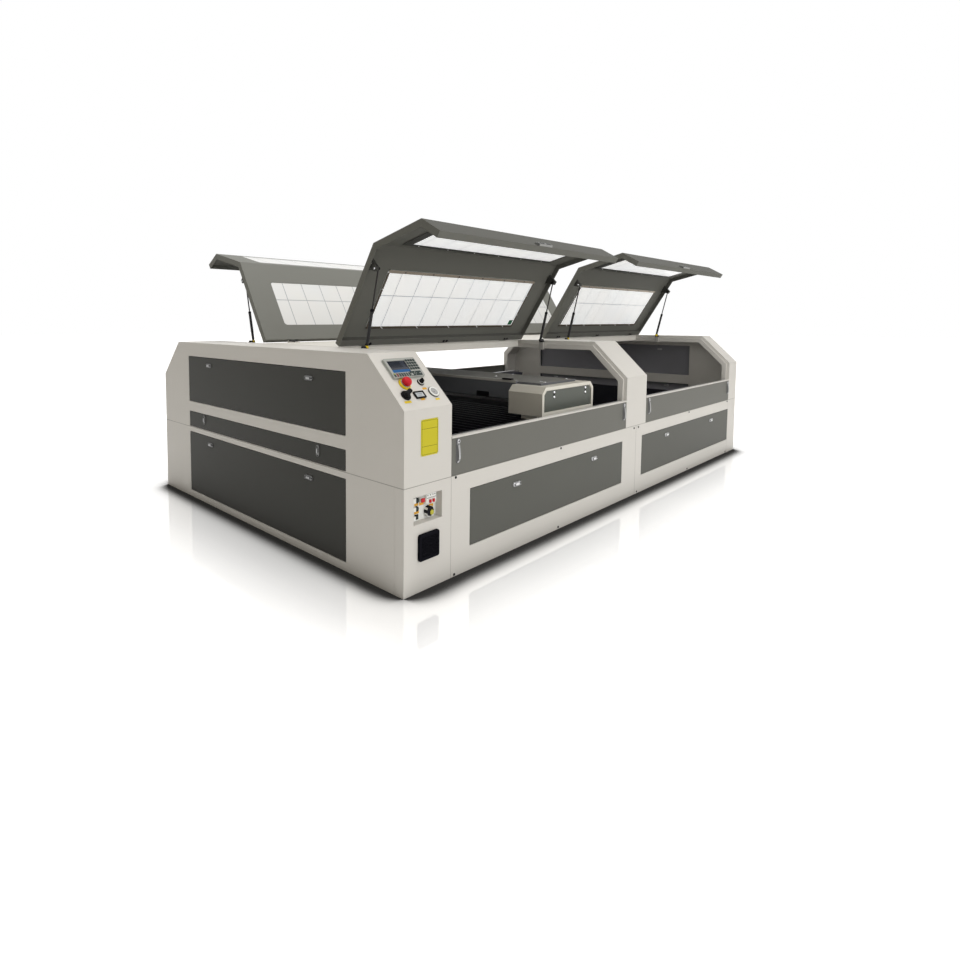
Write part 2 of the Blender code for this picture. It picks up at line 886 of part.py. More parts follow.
spine_hinges = bmesh.new()
for face, side in (("front", 1), ("rear", -1)):
    for module, (start, end) in lid_spans.items():
        name = face + "_" + module + "_lid"
        length = end - start
        pivot = bpy.data.objects.new(name + "_hinge_line", None)
        pivot.location = (0, side * hinge_y, lid_hinge_height)
        pivot.rotation_euler = (-side * lid_open_angle, 0, 0)
        bpy.context.collection.objects.link(pivot)

        lid = prism(name, lid_frame(lid_outer + lid_rim[::-1], side), "X", start, end, lid_paint, pivot)
        pocket = lid_frame(pocket_outer + pocket_inner[::-1], side)
        cut(lid, prism(name + "_pocket", pocket, "X", start + lid_sheet, end - lid_sheet, None, pivot))

        # Windows in the flat panel and in the slope
        flat_x = (start + window_end_margin, end - window_end_margin)
        crest_y = lid_outer[2][0] - hinge_y
        flat_y = (side * -window_hinge_margin, side * (crest_y + window_bend_margin))
        skin_under = top_height + lid_proud - lid_sheet - lid_hinge_height
        flat_hole = window_outline(flat_x, flat_y, 0)
        cut(lid, prism(name + "_window", flat_hole, "Z", -overrun, overrun, None, pivot))
        slope_length = math.dist(lid_outer[1], lid_outer[2])
        slope_centre = (Vector(lid_outer[1]) + Vector(lid_outer[2])) / 2
        slope_middle = lid_frame([tuple(slope_centre)], side)[0]
        to_flange = slope_length / 2 - slope_window_flange_margin
        to_crest = slope_length / 2 - slope_window_margin
        slope_y = (-side * to_flange, side * to_crest)
        slope_hole_outline = window_outline(flat_x, slope_y, 0)
        turn = Matrix.Translation((0, *slope_middle)) @ Matrix.Rotation(side * slope_angle, 4, "X")
        slope_hole = prism(name + "_slope_window", slope_hole_outline, "Z", -overrun, overrun, None, pivot)
        slope_hole.data.transform(turn)
        cut(lid, slope_hole)

        # A clear sheet laid against the inside of the flat panel, and the slope's own pane
        sheet_top = skin_under - seat_gap
        sheet_z = (sheet_top - window_sheet, sheet_top)
        sheet_outline = window_outline(flat_x, flat_y, window_lap)
        prism(name + "_window_sheet", sheet_outline, "Z", *sheet_z, acrylic, pivot)
        pane_outline = window_outline(flat_x, slope_y, window_lap)
        pane_z = (-lid_sheet - window_sheet, -lid_sheet / 2)
        pane = prism(name + "_slope_pane", pane_outline, "Z", *pane_z, None, pivot)
        pane.data.transform(turn)
        fuse(lid, pane)

        # Hinge knuckles: the middle one on the lid, one each side of it on the spine
        lid_tabs = bmesh.new()
        edge_y = side * (lid_edge_from_front - lid_hinge_from_front)
        half = knuckle_length / 2
        for share in hinge_shares:
            middle = start + share * length
            add_prism(lid_tabs, lid_knuckle(edge_y, side), "X", middle - half, middle + half)
            for way in (-1, 1):
                near = middle + way * (half + seat_gap)
                far = near + way * knuckle_length
                leaf = [(y + side * hinge_y, z + lid_hinge_height) for y, z in spine_knuckle(side)]
                add_prism(spine_hinges, leaf, "X", *sorted((near, far)))
        fuse(lid, object_from(lid_tabs, name + "_knuckles", None, pivot))

        # Pull handle on the flange and the brackets that take the struts' upper ends
        fittings = bmesh.new()
        flange_y = side * (lid_outer[0][0] - hinge_y)
        flange_z = lid_flange_bottom - lid_hinge_height
        handle = [
            (flange_y + side * lid_sheet / 2, flange_z),
            (flange_y - side * lid_handle_reach, flange_z),
            (flange_y - side * lid_handle_reach, flange_z + lid_handle_height / 2),
            (flange_y - side * lid_sheet, flange_z + lid_handle_height),
            (flange_y + side * lid_sheet / 2, flange_z + lid_handle_height),
        ]
        lid_middle = (start + end) / 2
        handle_half = lid_handle_length / 2
        add_prism(fittings, handle, "X", lid_middle - handle_half, lid_middle + handle_half)
        for edge, inward in ((start - lid_gap, 1), (end + lid_gap, -1)):
            near = edge + inward * (seal_width + door_gap)
            far = edge + inward * (strut_inset - strut_eye_width / 2 - seat_gap)
            spot = -side * strut_top_along
            root = skin_under + lid_sheet / 2
            bracket = [
                (spot - lid_bracket_length / 2, root),
                (spot - lid_bracket_tip / 2, -strut_top_drop - strut_eye_radius),
                (spot + lid_bracket_tip / 2, -strut_top_drop - strut_eye_radius),
                (spot + lid_bracket_length / 2, root),
            ]
            add_prism(fittings, bracket, "X", *sorted((near, far)))
        fuse(lid, object_from(fittings, name + "_fittings", None, pivot))

        # Gas struts, aimed from their feet on the column to the swung lid
        foot = (side * from_front(strut_foot_from_front), strut_foot_height)
        across, up = swung(strut_top_along, strut_top_drop, lid_open_angle)
        top = (side * (hinge_y + across), lid_hinge_height + up)
        reach = math.dist(foot, top)
        lean = math.atan2(foot[0] - top[0], top[1] - foot[1])
        eye_x = (-strut_eye_width / 2, strut_eye_width / 2)
        foot_eye = circle(0, 0, strut_eye_radius, 12)
        top_eye = circle(0, reach, strut_eye_radius, 12)
        strut_places = {"left": start - lid_gap + strut_inset, "right": end + lid_gap - strut_inset}
        for place, strut_x in strut_places.items():
            strut = face + "_" + module + "_strut_" + place
            bore = strut_rod_radius + strut_bore_clearance
            tube_shape = bmesh.new()
            tube_outline = [
                (0, 0),
                (strut_neck_radius, 0),
                (strut_neck_radius, strut_neck_length),
                (strut_tube_radius, strut_neck_length),
                (strut_tube_radius, strut_tube_length),
                (bore, strut_tube_length),
                (bore, strut_bore_bottom),
                (0, strut_bore_bottom),
            ]
            add_turned(tube_shape, tube_outline, 12)
            tube = object_from(tube_shape, strut + "_tube", black_metal, None, True)
            fuse(tube, prism(strut + "_foot_eye", foot_eye, "X", *eye_x, None, tube))
            rod_shape = bmesh.new()
            rod_bottom = strut_tube_length - strut_rod_cover
            rod_outline = [
                (0, rod_bottom),
                (strut_rod_radius, rod_bottom),
                (strut_rod_radius, reach),
                (0, reach),
            ]
            add_turned(rod_shape, rod_outline, 10)
            rod = object_from(rod_shape, strut + "_rod", bright_steel, None, True)
            fuse(rod, prism(strut + "_top_eye", top_eye, "X", *eye_x, None, rod))
            for piece in (tube, rod):
                piece.location = (strut_x, *foot)
                piece.rotation_euler = (lean, 0, 0)
fuse(top_spine, object_from(spine_hinges, "spine_knuckles"))

# Gantry rails along both sides, each a beam with a linear guide on top
rail_x = (left_inner + seal_width + rail_end_gap, right_inner - seal_width - rail_end_gap)
rail_foot = base_height + seat_gap
rail_top = rail_foot + rail_height
rail_near = from_front(rail_from_front)
rail_far = rail_near + rail_width
rail_middle = (rail_near + rail_far) / 2
rail_section = [
    (rail_near, rail_foot),
    (rail_far, rail_foot),
    (rail_far, rail_top),
    (rail_middle + guide_width / 2, rail_top),
    (rail_middle + guide_width / 2, rail_top + guide_height),
    (rail_middle - guide_width / 2, rail_top + guide_height),
    (rail_middle - guide_width / 2, rail_top),
    (rail_near, rail_top),
]
for face, side in (("front", 1), ("rear", -1)):
    section = [(side * y, z) for y, z in rail_section]
    prism(face + "_rail", section, "X", *rail_x, interior_paint)

# Slat bed: a frame with knife slats across it
bed_y = (from_front(bed_from_front), -from_front(bed_from_front))
bed_z = (base_height + seat_gap, base_height + seat_gap + bed_height)
slat_bed = boxes("slat_bed", [(rail_x, bed_y, bed_z)])
slat_bed.data.materials.append(black_metal)
slat_space = rail_x[1] - rail_x[0] - 2 * bed_frame
slat_count = round(slat_space / slat_pitch)
slat_step = slat_space / slat_count
slot_reach_y = (bed_y[0] + bed_frame, bed_y[1] - bed_frame)
slot_reach_z = (bed_z[0] - overrun, bed_z[1] + overrun)
slat_slots = []
for index in range(slat_count):
    slot_start = rail_x[0] + bed_frame + index * slat_step + slat_thickness / 2
    slat_slots.append(((slot_start, slot_start + slat_step - slat_thickness), slot_reach_y, slot_reach_z))
cut(slat_bed, boxes("slat_slots", slat_slots))

# Gantry: end housings with their shoes on the guides, and the covered beam between them
gantry_x = from_left(gantry_centre)
housing_near = from_front(housing_from_front)
housing_far = housing_near + housing_width
housing_half = housing_length / 2
guide_top = rail_top + guide_height
housing_bottom = guide_top + seat_gap + shoe_height
housing_top = housing_bottom + housing_height
housing_section = [
    (gantry_x - housing_half, housing_bottom),
    (gantry_x - housing_half, housing_top - housing_chamfer),
    (gantry_x - housing_half + housing_chamfer, housing_top),
    (gantry_x + housing_half - housing_chamfer, housing_top),
    (gantry_x + housing_half, housing_top - housing_chamfer),
    (gantry_x + housing_half, housing_bottom),
]
housing_panel = moved_inwards(housing_section, housing_panel_inset)
panel_low = housing_bottom + housing_panel_inset
housing_panel[0] = (housing_panel[0][0], panel_low)
housing_panel[-1] = (housing_panel[-1][0], panel_low)
for face, side in (("front", 1), ("rear", -1)):
    housing_y = sorted((side * housing_near, side * housing_far))
    housing = prism("gantry_" + face + "_housing", housing_section, "Y", *housing_y, beige_paint)
    panel_y = sorted((side * (housing_near - overrun), side * (housing_near + housing_panel_step)))
    cut(housing, prism(face + "_housing_panel", housing_panel, "Y", *panel_y))
    shoe_y = (side * (rail_middle - shoe_width / 2), side * (rail_middle + shoe_width / 2))
    shoes = []
    for way in (-1, 1):
        shoe_middle = gantry_x + way * shoe_spread / 2
        shoe_x = (shoe_middle - shoe_length / 2, shoe_middle + shoe_length / 2)
        shoes.append((shoe_x, shoe_y, (guide_top + seat_gap, housing_bottom + housing_panel_step)))
    fuse(housing, boxes(face + "_guide_shoes", shoes))

beam_half = beam_cover_width / 2
beam_cover_bottom = housing_bottom + beam_cover_rise
beam_cover_top = beam_cover_bottom + beam_cover_height
beam_tube_bottom = housing_bottom - beam_tube_drop
tube_near = gantry_x - beam_tube_width / 2 + beam_tube_offset
tube_far = tube_near + beam_tube_width
beam_section = [
    (tube_near, beam_tube_bottom),
    (tube_near, beam_cover_bottom),
    (gantry_x - beam_half, beam_cover_bottom),
    (gantry_x - beam_half, beam_cover_top + beam_lip_height),
    (gantry_x - beam_half + beam_lip, beam_cover_top + beam_lip_height),
    (gantry_x - beam_half + beam_lip, beam_cover_top),
    (gantry_x + beam_half - beam_cover_chamfer, beam_cover_top),
    (gantry_x + beam_half, beam_cover_top - beam_cover_chamfer),
    (gantry_x + beam_half, beam_cover_bottom),
    (tube_far, beam_cover_bottom),
    (tube_far, beam_tube_bottom),
]
beam_y = (housing_far + seat_gap, -housing_far - seat_gap)
gantry_beam = prism("gantry_beam", beam_section, "Y", *beam_y, interior_paint)
# The cover's top plate runs on over both housings
top_plate = (
    (gantry_x - beam_half + beam_plate_inset, gantry_x + beam_half - beam_cover_chamfer),
    (beam_y[0] - beam_plate_reach, beam_y[1] + beam_plate_reach),
    (housing_top + seat_gap, beam_cover_top),
)
fuse(gantry_beam, boxes("beam_top_plate", [top_plate]))

# Cutting head: a carriage on the beam's side and a head that slides down it
carriage_x = (tube_near - seat_gap - carriage_depth, tube_near - seat_gap)
carriage_top = beam_cover_bottom - seat_gap
carriage_bottom = beam_tube_bottom - carriage_drop
carriage_section = [
    (carriage_x[1], carriage_bottom),
    (carriage_x[1], carriage_top),
    (carriage_x[0], carriage_top),
    (carriage_x[0], carriage_top - carriage_ear),
    (carriage_x[0] + carriage_ear, carriage_top - 2 * carriage_ear),
    (carriage_x[0] + carriage_ear, carriage_bottom),
]
carriage_y = (-carriage_width / 2, carriage_width / 2)
prism("head_carriage", carriage_section, "Y", *carriage_y, black_metal)
head_face = carriage_x[0] + carriage_ear - seat_gap
head_x = head_face - head_length / 2
head = bmesh.new()
head_bottom = bed_z[1] + nozzle_above_bed + nozzle_length
head_block_bottom = head_bottom + nozzle_length
head_block_x = (head_face - head_length, head_face)
head_block_y = (-head_width / 2, head_width / 2)
head_block_z = (head_block_bottom, head_block_bottom + head_block_height)
add_box(head, head_block_x, head_block_y, head_block_z)
laser_head = object_from(head, "laser_head", bright_steel)
nozzle = bmesh.new()
nozzle_outline = [
    (0, head_bottom - nozzle_length),
    (nozzle_tip_radius, head_bottom - nozzle_length),
    (nozzle_radius, head_bottom),
    (head_barrel_radius, head_bottom),
    (head_barrel_radius, head_block_bottom + nozzle_radius),
    (0, head_block_bottom + nozzle_radius),
]
add_turned(nozzle, nozzle_outline, 16, (head_x, 0, 0))
fuse(laser_head, object_from(nozzle, "nozzle"))


# Controls on the column's sloped face

slope_up = Vector((0, math.cos(slope_angle), math.sin(slope_angle)))
slope_crest = Vector((0, from_front(slope_run), top_height))


def on_slope(thing, distance_from_left, down):
    spot = slope_crest - slope_up * down
    thing.location = (from_left(distance_from_left), spot.y, spot.z)
    thing.rotation_euler = (slope_angle, 0, 0)


def turned_piece(name, outline, finish, steps=20):
    shape = bmesh.new()
    add_turned(shape, outline, steps)
    return object_from(shape, name, finish, None, True)


# Raised rims round the emergency stop, the key switch and the selector, bored for their stems
bezel_rows = (
    ("stop", stop_from_left, stop_down, collar_radius, collar_height),
    ("key", key_from_left, key_down, key_bezel_radius, key_bezel_height),
    ("selector", selector_from_left, selector_down, selector_bezel_radius, key_bezel_height),
)
for name, distance_from_left, down, radius, height in bezel_rows:
    rim = [
        (0, -latch_embed),
        (radius, -latch_embed),
        (radius, height / 2),
        (radius - height / 2, height),
        (0, height),
    ]
    bezel = turned_piece(name + "_rim", rim, None)
    on_slope(bezel, distance_from_left, down)
    fuse(left_enclosure, bezel)
    hole = prism(name + "_hole", circle(0, 0, button_hole_radius), "Z", -button_hole_depth, overrun)
    on_slope(hole, distance_from_left, down)
    cut(left_enclosure, hole)

# Controller panel with its screen and keys
panel_outline = rounded((0, panel_length), (-panel_height, 0), panel_thickness / 2)
control_panel = prism("control_panel", panel_outline, "Z", seat_gap, seat_gap + panel_thickness, panel_grey)
on_slope(control_panel, panel_start, panel_down)
screen_x = (screen_start, screen_start + screen_length)
screen_y = (-screen_down - screen_height, -screen_down)
screen = prism(
    "screen_recess",
    rectangle(screen_x, screen_y),
    "Z",
    seat_gap + panel_thickness - screen_recess,
    panel_thickness + overrun,
)
on_slope(screen, panel_start, panel_down)
cut(control_panel, screen)
keys = bmesh.new()
keypad_x = panel_length - key_margin - keypad_columns * key_pitch + (key_pitch - key_size) / 2
key_z = (panel_thickness - key_height, panel_thickness + key_height)
for column in range(keypad_columns):
    for row in range(keypad_rows):
        left = keypad_x + column * key_pitch
        high = -keypad_down - row * key_pitch
        add_box(keys, (left, left + key_size), (high - key_size, high), key_z)
soft_pitch = screen_length / soft_keys
soft_key_low = -panel_height + key_margin
for column in range(soft_keys):
    left = screen_start + column * soft_pitch + (soft_pitch - key_size) / 2
    add_box(keys, (left, left + key_size), (soft_key_low, soft_key_low + key_size), key_z)
key_group = object_from(keys, "panel_keys")
on_slope(key_group, panel_start, panel_down)
fuse(control_panel, key_group)

# Emergency stop, key switch and selector
stop_low = collar_height + stop_travel + seat_gap
emergency_stop = turned_piece(
    "emergency_stop",
    [
        (0, -stem_depth),
        (stem_radius, -stem_depth),
        (stem_radius, stop_low),
        (stop_head_radius, stop_low),
        (stop_head_radius, stop_low + stop_head_height * stop_side_share),
        (stop_head_radius * stop_shoulder_radius_share, stop_low + stop_head_height * stop_shoulder_share),
        (stop_head_radius * stop_crown_radius_share, stop_low + stop_head_height),
        (0, stop_low + stop_head_height),
    ],
    red_plastic,
)
on_slope(emergency_stop, stop_from_left, stop_down)

key_top = key_bezel_height + seat_gap + key_barrel_height
key_switch = turned_piece(
    "key_switch",
    [
        (0, -stem_depth),
        (stem_radius, -stem_depth),
        (stem_radius, key_bezel_height + seat_gap),
        (key_barrel_radius, key_bezel_height + seat_gap),
        (key_barrel_radius, key_top),
        (0, key_top),
    ],
    black_plastic,
)
on_slope(key_switch, key_from_left, key_down)
bow_x = (-key_bow_width / 2, key_bow_width / 2)
bow_y = (-key_bow_length / 2, key_bow_length / 2)
bow_z = (key_top - key_height, key_top + key_bow_height)
bow = prism("key_bow", rounded(bow_y, bow_z, key_bow_width / 2), "X", *bow_x)
bow.parent = key_switch
fuse(key_switch, bow)

lever_low = key_bezel_height + seat_gap
selector_knob = turned_piece(
    "selector_knob",
    [
        (0, -stem_depth),
        (stem_radius, -stem_depth),
        (stem_radius, lever_low),
        (selector_radius, lever_low),
        (selector_radius, lever_low + selector_height),
        (0, lever_low + selector_height),
    ],
    black_plastic,
)
on_slope(selector_knob, selector_from_left, selector_down)
lever_z = (lever_low + selector_height / 2, lever_low + selector_height + lever_height)
lever = prism("selector_lever", oval(0, 0, lever_width, lever_length), "Z", *lever_z)
lever.parent = selector_knob
lever.rotation_euler = (0, 0, lever_turn)
fuse(selector_knob, lever)

# Meter and round port cap
meter_x = (-meter_length / 2, meter_length / 2)
meter_y = (-meter_height / 2, meter_height / 2)
meter_outline = rounded(meter_x, meter_y, meter_frame / 2)
meter = prism("panel_meter", meter_outline, "Z", seat_gap, meter_thickness, black_plastic)
on_slope(meter, meter_from_left, meter_down)
window_x = (meter_x[0] + meter_frame, meter_x[1] - meter_frame)
window_y = (meter_y[0] + meter_frame, meter_y[1] - meter_frame)
meter_window_low = meter_thickness - meter_recess
meter_window = prism("meter_window", rectangle(window_x, window_y), "Z", meter_window_low, overrun)
on_slope(meter_window, meter_from_left, meter_down)
cut(meter, meter_window)

port_cap = turned_piece(
    "port_cap",
    [
        (0, -port_height),
        (port_radius, -port_height),
        (port_radius, port_height * (1 - port_bevel_share)),
        (port_radius - port_height * port_bevel_share, port_height),
        (port_step, port_height),
        (port_step, port_step_height),
        (0, port_step_height),
    ],
    bright_steel,
    24,
)
on_slope(port_cap, port_from_left, port_down)
fuse(left_enclosure, port_cap)
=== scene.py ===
import fnmatch
import json
import math

import bmesh
import bpy
from mathutils import Matrix, Vector


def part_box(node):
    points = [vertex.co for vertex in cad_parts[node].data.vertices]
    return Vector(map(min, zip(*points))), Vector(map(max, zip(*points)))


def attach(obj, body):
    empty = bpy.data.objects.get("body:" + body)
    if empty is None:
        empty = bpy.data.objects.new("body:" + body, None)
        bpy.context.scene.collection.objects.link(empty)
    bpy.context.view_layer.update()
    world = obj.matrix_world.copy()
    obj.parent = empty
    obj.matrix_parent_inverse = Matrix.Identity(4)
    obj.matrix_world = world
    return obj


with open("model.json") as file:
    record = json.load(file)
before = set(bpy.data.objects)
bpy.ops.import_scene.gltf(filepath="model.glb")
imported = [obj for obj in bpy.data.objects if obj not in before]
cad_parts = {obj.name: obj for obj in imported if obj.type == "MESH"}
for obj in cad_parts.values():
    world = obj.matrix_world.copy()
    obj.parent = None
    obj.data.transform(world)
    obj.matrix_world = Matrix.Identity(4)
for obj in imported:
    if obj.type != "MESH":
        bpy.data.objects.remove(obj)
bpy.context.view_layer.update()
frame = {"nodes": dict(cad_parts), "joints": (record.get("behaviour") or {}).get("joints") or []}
joints = {joint["name"]: joint for joint in frame["joints"]}
scene = bpy.context.scene
faces = ("front", "rear")
modules = ("left", "right")
quarters = [(face, module) for face in faces for module in modules]
sides = (("front", -1), ("rear", 1))
print("frame loaded:", len(frame["nodes"]), "nodes")

# Sizes of the machine
machine = {
    "halfLength": 2.07,
    "halfWidth": 1.15,
    "topHeight": 0.996,
    "shoulderHeight": 0.774,
    "slopeRun": 0.222,
}
slopeAngle = math.atan2(machine["topHeight"] - machine["shoulderHeight"], machine["slopeRun"])

# Camera, floor and lamps
studio = {
    "cameraPlace": (-3.725, -2.782, 1.138),
    "cameraTurn": 42.62,
    "cameraDown": 3.95,
    "focalPixels": 586.8,
    "framePixels": 960,
    "centreAcross": 375.8,
    "centreDown": 360.6,
    "floorSize": 90.0,
    "floorColour": (0.84, 0.84, 0.845),
    "floorSway": 0.005,
    "floorRough": 0.6,
    "floorGlow": 0.55,
    "shadowReach": 1.2,
    "whiteReach": 3.0,
    # Painted contact shadow: colour, reach, occlusion range and samples for the floor's darkening next to the machine
    "contactShadowColour": (0.045, 0.045, 0.045),
    "contactShadowReach": 0.20,
    "contactShadowFrom": 0.62,
    "contactShadowTo": 0.97,
    "contactShadowSamples": 32,
    "mirrorShare": 0.46,
    "mirrorReach": 0.80,
    "mirrorRough": 0.05,
    "worldLight": 0.37,
    "worldTint": (1.0, 0.945, 0.84),
    "keyPlace": (-0.3, -10.0, 4.2),
    "keySize": 5.0,
    "keyPower": 345,
    "topPlace": (-0.5, -0.5, 7.5),
    "topSize": 7.0,
    "topPower": 330,
    "aim": (0.0, 0.0, 0.5),
}


def aimed(place, target):
    return (Vector(target) - Vector(place)).to_track_quat("-Z", "Y").to_euler()


def addLamp(name, place, size, power):
    lamp = bpy.data.lights.new(name, "AREA")
    lamp.size = size
    lamp.energy = power
    holder = bpy.data.objects.new(name, lamp)
    holder.location = place
    holder.rotation_euler = aimed(place, studio["aim"])
    scene.collection.objects.link(holder)


def setStudio(values):
    camera = bpy.data.cameras.new("photoCamera")
    camera.sensor_width = 36
    camera.lens = camera.sensor_width * values["focalPixels"] / values["framePixels"]
    middle = values["framePixels"] / 2
    camera.shift_x = (middle - values["centreAcross"]) / values["framePixels"]
    camera.shift_y = (values["centreDown"] - middle) / values["framePixels"]
    holder = bpy.data.objects.new("photoCamera", camera)
    holder.location = values["cameraPlace"]
    holder.rotation_euler = (math.radians(90 - values["cameraDown"]), 0, math.radians(-values["cameraTurn"]))
    scene.collection.objects.link(holder)
    scene.camera = holder
    addLamp("keyLamp", values["keyPlace"], values["keySize"], values["keyPower"])
    addLamp("topLamp", values["topPlace"], values["topSize"], values["topPower"])
    scene.view_settings.view_transform = "Standard"


setStudio(studio)


# Node helpers
def isSocket(value):
    return isinstance(value, bpy.types.NodeSocket)


def setInputs(tree, sockets, inputs):
    for name, value in inputs.items():
        if isSocket(value):
            tree.links.new(value, sockets[name])
        else:
            sockets[name].default_value = value


def place(tree, kind, inputs=None, **settings):
    made = tree.nodes.new(kind)
    for name, value in settings.items():
        setattr(made, name, value)
    setInputs(tree, made.inputs, inputs or {})
    return made


def calc(tree, operation, first, second=0.0, third=0.0, clamp=False):
    inputs = {0: first, 1: second, 2: third}
    return place(tree, "ShaderNodeMath", inputs, operation=operation, use_clamp=clamp).outputs[0]


def vectorCalc(tree, operation, inputs, output=0):
    return place(tree, "ShaderNodeVectorMath", inputs, operation=operation).outputs[output]


def largest(tree, masks):
    best = masks[0]
    for mask in masks[1:]:
        best = calc(tree, "MAXIMUM", best, mask)
    return best


def together(tree, *masks):
    whole = masks[0]
    for mask in masks[1:]:
        whole = calc(tree, "MULTIPLY", whole, mask)
    return whole


def above(tree, value, level):
    return calc(tree, "GREATER_THAN", value, level)


def below(tree, value, level):
    return calc(tree, "LESS_THAN", value, level)


def mixed(tree, share, first, second):
    first, second = (value if isSocket(value) else (*value, 1) for value in (first, second))
    return place(tree, "ShaderNodeMix", {0: share, 6: first, 7: second}, data_type="RGBA").outputs[2]


def mixedNumber(tree, share, first, second):
    return place(tree, "ShaderNodeMix", {0: share, 2: first, 3: second}, data_type="FLOAT").outputs[0]


def ramp(tree, value, start, end, low=0.0, high=1.0, kind="SMOOTHSTEP"):
    inputs = {0: value, 1: start, 2: end, 3: low, 4: high}
    return place(tree, "ShaderNodeMapRange", inputs, interpolation_type=kind).outputs[0]


def objectSpot(tree):
    return place(tree, "ShaderNodeTexCoord").outputs["Object"]


def axesOf(tree, vector):
    return place(tree, "ShaderNodeSeparateXYZ", {0: vector}).outputs


def upward(tree):
    return axesOf(tree, place(tree, "ShaderNodeNewGeometry").outputs["Normal"])[2]


def noise(tree, scale, detail, spot=None):
    inputs = {"Vector": objectSpot(tree) if spot is None else spot, "Scale": scale, "Detail": detail}
    return place(tree, "ShaderNodeTexNoise", inputs).outputs[0]


def bumped(tree, height, strength, distance, normal=None):
    inputs = {"Strength": strength, "Distance": distance, "Height": height}
    if normal is not None:
        inputs["Normal"] = normal
    return place(tree, "ShaderNodeBump", inputs).outputs[0]


def seenDirectly(tree):
    path = place(tree, "ShaderNodeLightPath").outputs
    return largest(tree, [path[f"Is {ray} Ray"] for ray in ("Camera", "Glossy", "Transmission")])


def scaled(colour, factor, lift=0.0):
    return tuple(min(1.0, part * factor + lift) for part in colour)


def newGroup(name, inputs, outputs):
    # A socket's kind follows from its value: a number, a vector or a colour.
    kinds = {1: "NodeSocketFloat", 3: "NodeSocketVector", 4: "NodeSocketColor"}
    tree = bpy.data.node_groups.new(name, "ShaderNodeTree")
    for way, sockets in (("INPUT", inputs), ("OUTPUT", outputs)):
        for socket, value in sockets.items():
            parts = len(value) if isinstance(value, tuple) else 1
            made = tree.interface.new_socket(socket, in_out=way, socket_type=kinds[parts])
            made.default_value = value
    return tree, tree.nodes.new("NodeGroupInput").outputs, tree.nodes.new("NodeGroupOutput").inputs


def useGroup(tree, group, inputs):
    return place(tree, "ShaderNodeGroup", inputs, node_tree=group).outputs


# Fine texture of powder-coated sheet: slow mottling of the colour and a fine peel
def makePowderCoat():
    wanted = {"Colour": (0.5, 0.5, 0.5, 1.0), "Mottle": 0.03, "Gloss": 0.4}
    made = {"Colour": (0.5, 0.5, 0.5, 1.0), "Roughness": 0.0, "Height": 0.0}
    tree, given, result = newGroup("powderCoat", wanted, made)
    slow, fine = noise(tree, 2.6, 3.0), noise(tree, 420.0, 1.0)
    level = calc(tree, "MULTIPLY_ADD", calc(tree, "SUBTRACT", slow, 0.5), given["Mottle"], 1.0)
    tinted = vectorCalc(tree, "SCALE", {0: given["Colour"], "Scale": level})
    rough = calc(tree, "MULTIPLY_ADD", fine, 0.10, given["Gloss"])
    setInputs(tree, result, {"Colour": tinted, "Roughness": rough, "Height": fine})
    return tree


# Folded edges: a rounded normal and a mask of the edge itself; the finishes use the mask to paint a highlight along
# edges
def makeSoftEdge():
    tree, given, result = newGroup("softEdge", {"Radius": 0.003}, {"Normal": (0.0, 0.0, 0.0), "Mask": 0.0})
    rounded = place(tree, "ShaderNodeBevel", {"Radius": given["Radius"]}, samples=4).outputs[0]
    flat = place(tree, "ShaderNodeNewGeometry").outputs["True Normal"]
    facing = vectorCalc(tree, "DOT_PRODUCT", {0: rounded, 1: flat}, "Value")
    turned = calc(tree, "SUBTRACT", 1.0, facing, clamp=True)
    setInputs(tree, result, {"Normal": rounded, "Mask": calc(tree, "MULTIPLY", turned, 4.0, clamp=True)})
    return tree


# A thin line where two sheets meet, across one coordinate
def makeJointLine():
    wanted = {"Coordinate": 0.0, "Position": 0.0, "Half Width": 0.001}
    tree, given, result = newGroup("jointLine", wanted, {"Mask": 0.0})
    near = calc(tree, "COMPARE", given["Coordinate"], given["Position"], given["Half Width"])
    setInputs(tree, result, {"Mask": near})
    return tree


# Grey dust that settles on what faces up
def makeSettledDust():
    tree, given, result = newGroup("settledDust", {"Amount": 0.1}, {"Mask": 0.0})
    lying = together(tree, calc(tree, "MAXIMUM", upward(tree), 0.0), noise(tree, 9.0, 6.0))
    setInputs(tree, result, {"Mask": calc(tree, "MULTIPLY", lying, given["Amount"], clamp=True)})
    return tree


# Long fine streaks of rolled or brushed metal
def makeBrushedGrain():
    wanted = {"Stretch": (4.0, 300.0, 300.0), "Gloss": 0.25}
    tree, given, result = newGroup("brushedGrain", wanted, {"Roughness": 0.0, "Streak": 0.0})
    drawn = vectorCalc(tree, "MULTIPLY", {0: objectSpot(tree), 1: given["Stretch"]})
    streak = noise(tree, 1.0, 2.0, drawn)
    rough = calc(tree, "MULTIPLY_ADD", streak, 0.18, given["Gloss"])
    setInputs(tree, result, {"Roughness": rough, "Streak": streak})
    return tree


powderCoat = makePowderCoat()
softEdge = makeSoftEdge()
jointLine = makeJointLine()
settledDust = makeSettledDust()
brushedGrain = makeBrushedGrain()
print("shader groups built")


# Finishes
def newFinish(name):
    finish = bpy.data.materials.new(name)
    finish.use_nodes = True
    return finish, finish.node_tree, finish.node_tree.nodes["Principled BSDF"]


def lineMask(tree, coordinate, position, half):
    return useGroup(tree, jointLine, {"Coordinate": coordinate, "Position": position, "Half Width": half})["Mask"]


coatLook = {
    "mottle": 0.05,
    "edgeHighlightShare": 0.25,
    "edgeHighlightPaler": 0.35,
    "peelStrength": 0.12,
    "peelDepth": 0.0004,
    "dustColour": (0.36, 0.35, 0.33),
    "seamColour": (0.07, 0.065, 0.055),
    "seamStrength": 0.5,
    "blockColour": (0.012, 0.012, 0.012),
    "footPaintedShade": 0.62,
    "plateGrey": 0.36,
    "gripGrey": 0.62,
    "fittingRough": 0.34,
}


